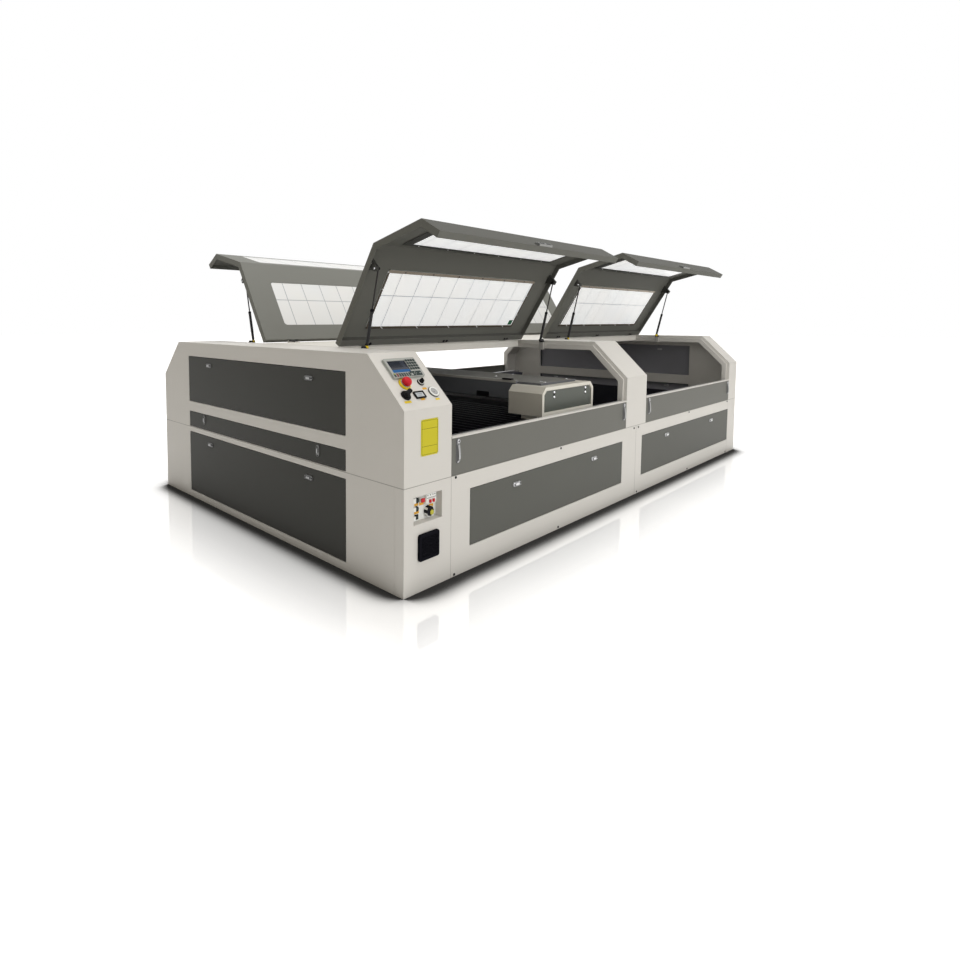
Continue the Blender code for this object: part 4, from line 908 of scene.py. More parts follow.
def dressLid(face, module):
    own = lidParts
    side, where = lidPlace(face, module)
    toFront = -side
    name = f"{face}_{module}_lid"
    start, end = (corner.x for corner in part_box(name))
    windowX = (start + own["endMargin"], end - own["endMargin"])
    skinTop = own["proud"] - own["hingeRise"]
    skinUnder = skinTop - own["skin"]
    bendShift = own["proud"] * math.tan(slopeAngle / 2)
    near = own["hingeMargin"]
    far = own["hingeFromFront"] - machine["slopeRun"] + bendShift - own["bendMargin"]
    lap, paper = own["lap"], own["paperWidth"]
    down = Matrix.Rotation(math.pi, 4, "X")

    def along(*distances):
        return tuple(toFront * distance for distance in distances)

    def spaced(count, first, steps):
        return [windowX[0] + (index + first) / steps * (windowX[1] - windowX[0]) for index in range(count)]

    def done(shape, ending, finish, spot=where, bevel=0.0, body=name):
        finishPiece(shape, name + ending, finish, body, spot, bevel)

    # The slope's own frame lies at its middle
    shoulder = (machine["halfWidth"] + own["proud"], machine["shoulderHeight"] + bendShift)
    crest = (machine["halfWidth"] - machine["slopeRun"] + bendShift, machine["topHeight"] + own["proud"])
    hinge = (machine["halfWidth"] - own["hingeFromFront"], machine["topHeight"] + own["hingeRise"])
    middle = [(low + high) / 2 - base for low, high, base in zip(shoulder, crest, hinge)]
    halfSlope = math.dist(shoulder, crest) / 2
    toFlange, toCrest = halfSlope - own["slopeFlangeMargin"], halfSlope - own["slopeMargin"]
    slopeTurn = Matrix.Rotation(side * slopeAngle, 4, "X")
    slopeWhere = where @ Matrix.Translation((0, toFront * middle[0], middle[1])) @ slopeTurn

    # Film on both sides of both windows
    lapped, inset = lap - own["filmInset"], -own["filmInset"]
    flat, slope = (near, far), (-toCrest, toFlange)
    sheetTop = skinUnder - own["sheetGap"]
    sheetLow = sheetTop - own["sheet"]
    paneLow, paneTop = -own["skin"] - own["sheet"], -own["skin"] / 2
    films = (
        ("_film", "filmInside", flat, lapped, sheetLow, -1, where),
        ("_outer_film", "filmOutside", flat, inset, sheetTop, 1, where),
        ("_slope_film", "filmSlope", slope, lapped, paneLow, -1, slopeWhere),
        ("_outer_slope_film", "filmOutside", slope, inset, paneTop, 1, slopeWhere),
    )
    for ending, finish, edges, growth, level, way, spot in films:
        film = bmesh.new()
        outline = roundedOutline(grown(windowX, growth), along(*grown(edges, growth)), own["corner"])
        close = level + way * own["filmOff"]
        addPrism(film, outline, "Z", close, close + way * own["filmThickness"])
        done(film, ending, finish, spot)

    # Aluminium strip with dark screws over the flat window's far edge
    filmDepth = own["filmOff"] + own["filmThickness"]
    stripTop = sheetLow - filmDepth
    stripLow = stripTop - own["stripThickness"]
    strip, darkScrews = bmesh.new(), bmesh.new()
    addBox(strip, (windowX[0] - 0.01, windowX[1] + 0.012), along(far - 0.002, far + lap), (stripLow, stripTop))
    done(strip, "_window_strip", "aluminium", bevel=0.0006)
    for x in spaced(6, 0.5, 6):
        spot = Matrix.Translation((x, toFront * (far + lap * 0.4), stripLow)) @ down
        screwHead(darkScrews, spot, own["screwRadius"] * 1.3, own["screwHeight"])
    done(darkScrews, "_strip_screws", "blackMetal")

    # Brown tape along the other edges of the flat window
    tape = bmesh.new()
    tapeZ = (stripTop - 0.0003, stripTop - 0.00005)
    for xs in ((windowX[0] - paper, windowX[0]), (windowX[1], windowX[1] + paper)):
        addBox(tape, xs, along(near, far - 0.003), tapeZ)
    addBox(tape, grown(windowX, paper), along(near - paper, near - 0.0002), tapeZ)
    done(tape, "_window_tape", "brownPaper")

    # Pale clips: slanted along the near edge, small screws at the ends
    clips = bmesh.new()
    clipLow = stripTop - own["clipThickness"] - 0.0004
    clipTurn = Matrix.Rotation(math.radians(own["clipTurn"]) * side, 4, "Z")
    for x in spaced(5, 0.35, 4.7):
        made = addPrism(clips, ovalOutline(0, 0, own["clipLength"], own["clipWidth"]), "Z", 0, own["clipThickness"])
        moved(clips, made, Matrix.Translation((x, toFront * (near - paper * 0.5), clipLow)) @ clipTurn)
    for x in grown(windowX, paper * 0.5):
        for share in (0.25, 0.7):
            spot = (x, toFront * (near + share * (far - near)), stripTop - 0.0003)
            screwHead(clips, Matrix.Translation(spot) @ down, own["screwRadius"], own["screwHeight"])
    done(clips, "_window_clips", "clipSteel")

    # Dark frame over the slope film's crest edge and ends, with pale screws
    slopeFrame, slopeScrews = bmesh.new(), bmesh.new()
    frameTop = paneLow - filmDepth
    frameLow = frameTop - own["frameThickness"]
    frameX = grown(windowX, lapped + 0.004)
    endY = along(0.003 - toCrest, toFlange + lap)
    borders = (
        (frameX, along(0.003 - toCrest, -toCrest - lap - 0.002)),
        ((frameX[0], windowX[0] + own["frameWidth"]), endY),
        ((windowX[1] - 0.004, frameX[1]), endY),
    )
    for xs, ys in borders:
        addBox(slopeFrame, xs, ys, (frameLow, frameTop))
    done(slopeFrame, "_slope_frame", "frameDark", slopeWhere, 0.0004)
    for x in spaced(6, 0.4, 5.8):
        for edge, level in ((-toCrest - lap * 0.55, frameLow), (toFlange + lap * 0.55, frameTop)):
            spot = Matrix.Translation((x, toFront * edge, level)) @ down
            screwHead(slopeScrews, spot, own["screwRadius"], own["screwHeight"])
    done(slopeScrews, "_slope_screws", "clipSteel", slopeWhere)

    # Hinge barrels over the knuckles and black screw pairs on the rim
    lidBarrels, frameBarrels, rimScrews = bmesh.new(), bmesh.new(), bmesh.new()
    length, half = own["knuckleLength"], own["knuckleLength"] / 2
    beyond = half + own["knuckleGap"]
    sleeve = ringOutline(own["pinRadius"], own["barrelRadius"], 0, length)
    rimY = toFront * (own["hingeFromFront"] - own["edgeFromFront"] + own["hingeScrewFromEdge"])
    for share in own["hingeShares"]:
        x = start + share * (end - start)
        for shape, shift in ((lidBarrels, -half), (frameBarrels, beyond), (frameBarrels, -beyond - length)):
            addTurned(shape, sleeve, 16, Matrix.Translation((x + shift, 0, 0)) @ Matrix.Rotation(math.pi / 2, 4, "Y"))
        for screwX in around(x, own["hingeScrewSpread"]):
            spot = Matrix.Translation((screwX, rimY, skinTop - own["depth"])) @ down
            screwHead(rimScrews, spot, own["hingeScrewRadius"], own["hingeScrewHeight"])
    done(lidBarrels, "_hinge_barrels", "blackMetal")
    done(frameBarrels, "_fixed_hinge_barrels", "blackMetal", body="frame")
    done(rimScrews, "_hinge_screws", "rubber")

    # Dark strut brackets with bright bolts
    brackets, bolts = bmesh.new(), bmesh.new()
    middle, foot = own["bracketAlong"], -own["bracketFoot"]
    (rootNear, rootFar), (tipNear, tipFar) = (around(middle, own[half]) for half in ("bracketHalf", "bracketTip"))
    root = skinUnder - 0.0002
    points = ((rootNear, root), (tipNear, foot), (tipFar, foot), (rootFar, root))
    outline = [(toFront * point, level) for point, level in points]
    places = [(middle, own["bracketDrop"])]
    places += [(spot, own["boltDrop"]) for spot in around(middle, own["boltSpread"])]
    for edge, inward in ((start - own["gap"], 1), (end + own["gap"], -1)):
        outer = edge + inward * own["bracketNear"]
        addPrism(brackets, outline, "X", outer, edge + inward * own["bracketFar"])
        for spot, drop in places:
            turn = Matrix.Rotation(-inward * math.pi / 2, 4, "Y")
            base = Matrix.Translation((outer, toFront * spot, -drop)) @ turn
            screwHead(bolts, base, own["boltRadius"], own["boltHeight"])
    done(brackets, "_strut_brackets", "frameDark", bevel=0.0008)
    done(bolts, "_bracket_bolts", "chrome")

    # Pull handle on the flange
    handle, pocket = bmesh.new(), bmesh.new()
    out, low = shoulder[0] - hinge[0], own["flangeBottom"] - hinge[1]
    x, reach, rise = (start + end) / 2, own["handleReach"], own["handleRise"]
    points = ((0.0002, -0.001), (reach, -0.001), (reach, rise * 0.55), (0.004, rise), (0.0002, rise))
    grip = [(toFront * (out + stand), low + height) for stand, height in points]
    addPrism(handle, grip, "X", *around(x, own["handleLength"] / 2))
    done(handle, "_pull", "pullSteel", bevel=0.0012)
    # Painted shade: flat black patches on the handle stand in for its two notches
    for middle in around(x, own["handleLength"] * 0.25):
        ys = along(out + reach, out + reach + 0.0006)
        addBox(pocket, around(middle, own["pocketHalf"]), ys, (low + 0.004, low + 0.015))
    done(pocket, "_pull_pockets", "blackPlastic")
    if face == "front" and module == "left":
        corner = bmesh.new()
        xs, zs = (windowX[1] - 0.050, windowX[1] - 0.008), (stripTop - 0.0006, stripTop - 0.0001)
        addBox(corner, xs, along(near + 0.004, near + 0.040), zs)
        done(corner, "_corner_tab", "greenPlastic")


for quarter in quarters:
    dressLid(*quarter)
print("lids dressed")


# Gas struts: ball joints at the feet, gland and end fittings
strutParts = {
    "ballRadius": 0.0118,
    "glandRadius": 0.0093,
    "glandLength": 0.012,
    "glandBore": 0.0086,
    "glandLip": 0.0046,
    "tubeLength": 0.198,
    "neckRadius": 0.0068,
    "neckBore": 0.0051,
    "neckFrom": 0.008,
    "neckTo": 0.015,
    "blackBalls": ("front_left_strut_right", "rear_left_strut_right"),
}


def dressStruts():
    own = strutParts
    tube, radius, lip = own["tubeLength"], own["glandRadius"], own["glandLip"]
    low, top, inner = tube - own["glandLength"], tube + 0.001, tube + 0.0001
    outline = [(radius, low), (radius, tube - 0.002), (radius - 0.002, top), (lip, top), (lip, inner)]
    outline += [(own["glandBore"], inner), (own["glandBore"], low)]
    for strut in (f"{face}_{module}_strut_{end}" for face, module in quarters for end in modules):
        foot = Vector(joints[strut + "_foot"]["pos_m"])
        line = Vector(joints[strut + "_slide"]["axis"])
        where = Matrix.Translation(foot) @ line.to_track_quat("Z", "X").to_matrix().to_4x4()
        ball, gland = bmesh.new(), bmesh.new()
        bmesh.ops.create_uvsphere(ball, u_segments=20, v_segments=12, radius=own["ballRadius"])
        cap = "blackMetal" if strut in own["blackBalls"] else "yellowPlastic"
        finishPiece(ball, strut + "_foot_ball", cap, strut + "_tube", where)
        addTurned(gland, outline, 20)
        addTurned(gland, ringOutline(own["neckBore"], own["neckRadius"], own["neckFrom"], own["neckTo"]), 16)
        finishPiece(gland, strut + "_gland", "rubber", strut + "_tube", where)


dressStruts()
print("struts dressed")


# Latches on doors and panels, and paddle handles on the drop doors
latchParts = {
    "length": 0.066,
    "width": 0.024,
    "stand": 0.004,
    "lockShare": 0.34,
    "dotShare": 0.40,
    "panelThickness": 0.004,
    "drop": 0.046,
    "accessShare": 0.24,
    "endSpreads": {"upper": 1.020, "slot": 1.160, "lower": 1.010},
    "slotLength": 0.055,
    "slotWidth": 0.022,
    "paddleLength": 0.110,
    "paddleWidth": 0.022,
    "paddleInset": 0.039,
}


def extent(name):
    low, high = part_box(name)
    return (low.x + high.x) / 2, low.z, high.x - low.x, high.z - low.z


def addLatch(chrome, dark, x, z, length, width):
    # The plate and the lever are part of the door; the lock cylinder and its slot are added.
    own = latchParts
    out = -own["stand"]

    def shifted(share):
        return (x, z - width * share) if width > length else (x + length * share, z)

    lockX, lockZ = shifted(-own["lockShare"])
    lock = outward(lockX, out, lockZ)
    addTurned(chrome, [(0, 0), (0.0085, 0), (0.0085, 0.0018), (0.0074, 0.0028), (0, 0.0028)], 20, lock)
    addTurned(dark, ringOutline(0.0040, 0.0060, 0.0028, 0.0032), 20, lock)
    # Painted shade: a flat black slit on the cylinder stands in for the keyway
    slit = boxOutline(around(lockX, 0.0012), around(lockZ, 0.0036))
    addPrism(dark, slit, "Y", out - 0.0034, out - 0.0028)
    outlines = []
    for inset, share in ((0.0006, 0.45), (0.0022, 0.40)):
        xs, zs = around(x, length / 2 - inset), around(z, width / 2 - inset)
        outlines.append(roundedOutline(xs, zs, min(length, width) * share, 5))
    moved(chrome, addFrameRing(chrome, *outlines, 0.0001, 0.0012), outward(0, out, 0))
    # Painted shade: a flat black dot at the other end stands in for a hole in the plate
    addPrism(dark, circleOutline(*shifted(own["dotShare"]), 0.0036, 12), "Y", out - 0.0006, out - 0.0001)


def addPaddle(chrome, dark, x, z):
    own = latchParts
    half = own["paddleLength"] / 2
    lock, foot = (outward(x, -own["stand"], level) for level in (z + half - 0.012, z - half + 0.0085))
    rim = [(0.0052, 0), (0.0088, 0), (0.0088, 0.004), (0.0078, 0.0052), (0.0052, 0.0052)]
    addTurned(chrome, rim, 20, lock)
    addTurned(dark, ringOutline(0, 0.0050, 0.001, 0.0035), 16, lock)
    button = [(0, 0.0001), (0.0050, 0.0001), (0.0050, 0.0020), (0.0030, 0.0026), (0, 0.0026)]
    addTurned(chrome, button, 16, foot)


def addCam(metal, x, z):
    # The latch's nut and cam lever on the inside of the door, within its opening.
    inner = latchParts["panelThickness"]
    nut = [(0, 0), (0.010, 0), (0.010, 0.006), (0.006, 0.006), (0.006, 0.012), (0, 0.012)]
    addTurned(metal, nut, 6, outward(x, inner + 0.0002, z, 1))
    addPrism(metal, ovalOutline(x + 0.012, z, 0.040, 0.013), "Y", inner + 0.0065, inner + 0.009)


def dressDoors():
    own = latchParts
    size = (own["length"], own["width"])
    rows = []
    for face, module in quarters:
        name = f"{face}_{module}_access_panel"
        middle, bottom, length, height = extent(name)
        spread = length * (1 - 2 * own["accessShare"])
        rows.append((name, face, middle, bottom, spread, height - own["drop"], *size))
    for face in modules:
        for row, spread in own["endSpreads"].items():
            name = f"{face}_{row}_panel"
            bottom, height = extent(name)[1::2]
            latch = (height - own["drop"], *size)
            if row == "slot":
                latch = (height / 2 + own["width"] / 2, own["slotWidth"], own["slotLength"])
            rows.append((name, face, 0, bottom, spread, *latch))
    for name, face, middle, bottom, spread, z, length, width in rows:
        chrome, dark, cams = bmesh.new(), bmesh.new(), bmesh.new()
        for x in around(0, spread / 2):
            addLatch(chrome, dark, x, z, length, width)
            addCam(cams, x, z)
        where = onFace(face, middle, bottom)
        # Painted reflection: latch outlines on the end panels take the dull pull steel instead of chrome, so they read
        # darker there
        metal = "chrome" if face in faces else "pullSteel"
        finishPiece(chrome, name + "_latches", metal, name, where, 0.0008)
        finishPiece(dark, name + "_keyholes", "blackPlastic", name, where)
        finishPiece(cams, name + "_cams", "brightSteel", name, where)
    for face, module in quarters:
        name = f"{face}_{module}_drop_door"
        middle, bottom, length, height = extent(name)
        chrome, dark, trim = bmesh.new(), bmesh.new(), bmesh.new()
        for x in around(0, length / 2 - own["paddleInset"]):
            addPaddle(chrome, dark, x, height - own["paddleLength"] / 2 - own["paddleWidth"] / 2)
        where = onFace(face, middle, bottom)
        finishPiece(chrome, name + "_paddles", "brightSteel", name, where, 0.0007)
        finishPiece(dark, name + "_paddle_locks", "blackPlastic", name, where)
        out, inner, far, foot, low, top = -0.0014, -0.0002, 0.0200, height - 0.007, height + 0.0002, height + 0.0014
        outline = [(out, foot), (out, top), (far, top), (far, low), (inner, low), (inner, foot)]
        addPrism(trim, outline, "X", *around(0, length / 2))
        finishPiece(trim, name + "_top_trim", "whitePlain", name, where)


dressDoors()
print("doors dressed")


# Controls on the sloped face of the left column
controlParts = {
    "panelFromLeft": 0.052,
    "panelDown": 0.045,
    "panelLength": 0.188,
    "panelHeight": 0.107,
    "panelTop": 0.0123,
    "screenStart": 0.013,
    "screenDown": 0.014,
    "screenLength": 0.108,
    "screenHeight": 0.066,
    "screenRecess": 0.003,
    "keySize": 0.011,
    "keyPitch": 0.0155,
    "keyMargin": 0.005,
    "keypadDown": 0.012,
    "keyRows": 4,
    "softKeys": 7,
    "softStart": 0.010,
    "softPitch": 0.0146,
    "softWidth": 0.0092,
    "softHeight": 0.0185,
    "softUp": 0.0040,
    "padStart": 0.106,
    "padEnd": 0.1745,
    "padTop": 0.0785,
    "padBottom": 0.1040,
    "keyCap": 0.0022,
    "stop": (0.096, 0.182),
    "keySwitch": (0.195, 0.180),
    "selector": (0.062, 0.240),
    "meter": (0.140, 0.245),
    "port": (0.234, 0.238),
    "labels": (
        (0.053, 0.272, 0.040, 0.011, "yellowPlastic"),
        (0.196, 0.214, 0.026, 0.011, "orangePlastic"),
        (0.146, 0.267, 0.026, 0.011, "orangePlastic"),
        (0.232, 0.276, 0.026, 0.009, "yellowPlastic"),
    ),
}


def onSlope(fromLeft, down):
    crest = Vector((0, machine["slopeRun"] - machine["halfWidth"], machine["topHeight"]))
    up = Vector((0, math.cos(slopeAngle), math.sin(slopeAngle)))
    spot = crest - up * down
    spot.x = fromLeft - machine["halfLength"]
    return Matrix.Translation(spot) @ Matrix.Rotation(slopeAngle, 4, "X")


def dressController():
    own = controlParts
    where = onSlope(own["panelFromLeft"], own["panelDown"])
    top = own["panelTop"]
    glass = top - own["screenRecess"]
    left, high = own["screenStart"], -own["screenDown"]
    right, low = left + own["screenLength"], high - own["screenHeight"]
    screen = bmesh.new()
    addBox(screen, (left + 0.0003, right - 0.0003), (low + 0.0003, high - 0.0003), (glass + 0.0001, glass + 0.0008))
    finishPiece(screen, "screen_glass", "darkDisplay", "frame", where)
    marks, strip = bmesh.new(), bmesh.new()
    drawn = (glass + 0.0009, glass + 0.0011)
    stripTop = low + own["screenHeight"] * 0.25
    addBox(strip, (left + 0.002, right - 0.002), (low + 0.002, stripTop), drawn)
    finishPiece(strip, "screen_blue_strip", "blueDisplay", "frame", where)
    column = left + own["screenLength"] * 0.70
    for row in range(7):
        rowHigh = high - 0.004 - row * 0.0062
        addBox(marks, (column, column + 0.026 - 0.004 * (row % 3)), (rowHigh - 0.0022, rowHigh), drawn)
    frameLow, frameHigh = stripTop + 0.003, high - 0.003
    for x in (left + 0.003, column - 0.004):
        addBox(marks, (x, x + 0.0008), (frameLow, frameHigh), drawn)
    for y in (frameLow, frameHigh - 0.0008):
        addBox(marks, (left + 0.003, column - 0.0032), (y, y + 0.0008), drawn)
    finishPiece(marks, "screen_marks", "dimDisplay", "frame", where)

    caps, lime, red = bmesh.new(), bmesh.new(), bmesh.new()
    size, cap = own["keySize"], 0.0004

    def addCap(shape, x, y):
        outline = roundedOutline((x - cap, x + size + cap), (y - cap, y + size + cap), 0.002, 3)
        addPrism(shape, outline, "Z", top, top + own["keyCap"])

    padStart = own["panelLength"] - own["keyMargin"] - own["keyRows"] * own["keyPitch"] + (own["keyPitch"] - size) / 2
    for column in range(own["keyRows"]):
        for row in range(own["keyRows"]):
            addCap(caps, padStart + column * own["keyPitch"], -own["keypadDown"] - row * own["keyPitch"] - size)
    for column in range(own["softKeys"]):
        middleX = own["softStart"] + column * own["softPitch"]
        foot = own["softUp"] - own["panelHeight"]
        outline = roundedOutline((middleX - own["softWidth"] / 2, middleX + own["softWidth"] / 2), (foot, foot + own["softHeight"]), 0.002, 3)
        addPrism(red if column == 1 else caps, outline, "Z", top, top + own["keyCap"])
        if column == 0:
            addBox(lime, (middleX - 0.003, middleX + 0.003), (foot + own["softHeight"] - 0.007, foot + own["softHeight"] - 0.001), (top + own["keyCap"], top + own["keyCap"] + 0.0004))
    finishPiece(caps, "controller_keys", "keyGrey", "frame", where, 0.0005)
    finishPiece(lime, "controller_lime_mark", "limePlastic", "frame", where)
    finishPiece(red, "controller_red_key", "darkRed", "frame", where, 0.0005)
    # A dark arrow pad with four pale arrows round its middle, and two more round keys
    pad, arrows = bmesh.new(), bmesh.new()
    padY = -(own["padTop"] + own["padBottom"]) / 2
    padX = own["padStart"] + (own["padEnd"] - own["padStart"]) * 0.42
    addPrism(pad, roundedOutline((own["padStart"], own["padEnd"]), (-own["padBottom"], -own["padTop"]), 0.003, 3), "Z", top + 0.0001, top + 0.0012)
    for turn in range(4):
        spot = Matrix.Translation((padX, padY, top + 0.0012)) @ Matrix.Rotation(turn * math.pi / 2, 4, "Z")
        made = addPrism(arrows, [(0.0045, -0.0028), (0.0100, 0.0), (0.0045, 0.0028)], "Z", 0.0, 0.0004)
        bmesh.ops.transform(arrows, matrix=spot, verts=list({vert for part in made for vert in part.verts}))
    for x in (own["padStart"] + 0.008, own["padEnd"] - 0.010):
        addPrism(arrows, circleOutline(x, padY, 0.0028, 16), "Z", top + 0.0012, top + 0.0016)
    finishPiece(pad, "controller_arrow_pad", "keyGrey", "frame", where, 0.0004)
    finishPiece(arrows, "controller_arrows", "greyPlastic", "frame", where)
    # A folded lip round the panel
    lip = bmesh.new()
    outer = roundedOutline((-0.0022, own["panelLength"] + 0.0022), (-own["panelHeight"] - 0.0022, 0.0022), 0.007)
    addPrism(lip, outer, "Z", 0.0001, 0.0032)
    finishPiece(lip, "controller_lip", "palePlastic", "frame", where, 0.0008)


def dressButtons():
    own = controlParts
    collar = bmesh.new()
    addTurned(collar, [(0.0086, 0.0002), (0.0296, 0.0002), (0.0296, 0.0030), (0.0262, 0.0084), (0.0245, 0.0096), (0.0230, 0.0088), (0.0226, 0.0078), (0.0086, 0.0078)], 40)
    finishPiece(collar, "stop_collar", "yellowPlastic", "frame", onSlope(*own["stop"]))
    seat = bmesh.new()
    addTurned(seat, [(0.0086, 0.0097), (0.0150, 0.0097), (0.0150, 0.0136), (0.0086, 0.0136)], 28)
    finishPiece(seat, "stop_seat", "blackPlastic", "frame", onSlope(*own["stop"]))
    ring, chrome = bmesh.new(), bmesh.new()
    addTurned(ring, [(0.0112, 0.0002), (0.0172, 0.0002), (0.0172, 0.0040), (0.0160, 0.0054), (0.0112, 0.0054)], 32)
    finishPiece(ring, "key_switch_rim", "blackPlastic", "frame", onSlope(*own["keySwitch"]))
    addTurned(chrome, [(0.0112, 0.0055), (0.0146, 0.0055), (0.0140, 0.0074), (0.0112, 0.0080)], 32)
    finishPiece(chrome, "key_switch_ring", "paleWhite", "frame", onSlope(*own["keySwitch"]))
    base = bmesh.new()
    addTurned(base, [(0.0142, 0.0002), (0.0236, 0.0002), (0.0236, 0.0050), (0.0215, 0.0072), (0.0142, 0.0072)], 40)
    finishPiece(base, "selector_rim", "blackPlastic", "frame", onSlope(*own["selector"]))
    display = bmesh.new()
    addPrism(display, roundedOutline((-0.0236, 0.0236), (-0.0116, 0.0116), 0.002), "Z", 0.0041, 0.0050)
    finishPiece(display, "meter_display", "liquidCrystal", "frame", onSlope(*own["meter"]))
    digits = bmesh.new()
    for row, (wide, y) in enumerate(((0.030, 0.004), (0.022, -0.004))):
        for part in range(5):
            x = -wide / 2 + part * wide / 5
            addBox(digits, (x, x + wide / 5 * 0.72), (y - 0.0013, y + 0.0013), (0.0051, 0.0052))
    finishPiece(digits, "meter_bars", "dimDisplay", "frame", onSlope(*own["meter"]))
    port, whiteRing = bmesh.new(), bmesh.new()
    rings = [(0.0, 0.0072), (0.0060, 0.0072), (0.0068, 0.0060), (0.0110, 0.0060), (0.0118, 0.0072), (0.0158, 0.0072), (0.0166, 0.0058), (0.0166, 0.0002), (0.0, 0.0002)]
    addTurned(port, rings, 44)
    finishPiece(port, "port_cover", "satinSilver", "frame", onSlope(*own["port"]))
    addTurned(whiteRing, [(0.0178, 0.0002), (0.0178, 0.0072), (0.0190, 0.0082), (0.0240, 0.0082), (0.0256, 0.0062), (0.0256, 0.0002)], 44)
    finishPiece(whiteRing, "port_ring", "plateWhite", "frame", onSlope(*own["port"]))
    groove = bmesh.new()
    addTurned(groove, [(0.0166, 0.0002), (0.0178, 0.0002), (0.0178, 0.0056), (0.0166, 0.0056)], 36)
    addTurned(groove, [(0.0256, 0.0002), (0.0274, 0.0002), (0.0274, 0.0050), (0.0256, 0.0058)], 36)
    addPrism(groove, circleOutline(-0.003, -0.003, 0.0022, 14), "Z", 0.0060, 0.0074)
    finishPiece(groove, "port_groove", "greyDark", "frame", onSlope(*own["port"]))
    for index, (fromLeft, down, length, height, finish) in enumerate(own["labels"]):
        label = bmesh.new()
        addPrism(label, roundedOutline((-length / 2, length / 2), (-height / 2, height / 2), 0.0015, 3), "Z", 0.0002, 0.0006)
        finishPiece(label, f"column_label_{index}", finish, "frame", onSlope(fromLeft, down))
    # Plain yellow plate on the column's front, held by four rivets
    plate, rim, rivets = bmesh.new(), bmesh.new(), bmesh.new()
    wide, tall = 0.107, 0.154
    addPrism(plate, roundedOutline((-wide / 2, wide / 2), (-tall / 2, tall / 2), 0.004), "Y", -0.0012, -0.0001)
    for inset, thick in ((0.006, 0.0010), (0.040, 0.0010)):
        for z in (tall / 2 - inset, -tall / 2 + inset):
            addBox(rim, (-wide / 2 + 0.006, wide / 2 - 0.006), (-0.0015, -0.0012), (z - thick / 2, z + thick / 2))
    for x in (-wide / 2 + 0.006, wide / 2 - 0.006):
        addBox(rim, (x - 0.0005, x + 0.0005), (-0.0015, -0.0012), (-tall / 2 + 0.006, tall / 2 - 0.006))
    for x in (-wide / 2 + 0.0035, wide / 2 - 0.0035):
        for z in (-tall / 2 + 0.0035, tall / 2 - 0.0035):
            screwHead(rivets, Matrix.Translation((x, -0.0012, z)) @ Matrix.Rotation(math.pi / 2, 4, "X"), 0.0020, 0.001)
    where = onFace("front", -1.9175, 0.651)
    finishPiece(plate, "column_plate", "plateYellow", "frame", where)
    finishPiece(rim, "column_plate_lines", "blackPlastic", "frame", where)
    finishPiece(rivets, "column_plate_rivets", "brightSteel", "frame", where)


dressController()
dressButtons()
print("controls dressed")


# Switch recess and fan filter in the front corner
recessParts = {
    "start": -2.012,
    "end": -1.836,
    "low": 0.292,
    "high": 0.409,
    "plateFront": -1.1143,
    "blockFront": -1.1323,
}


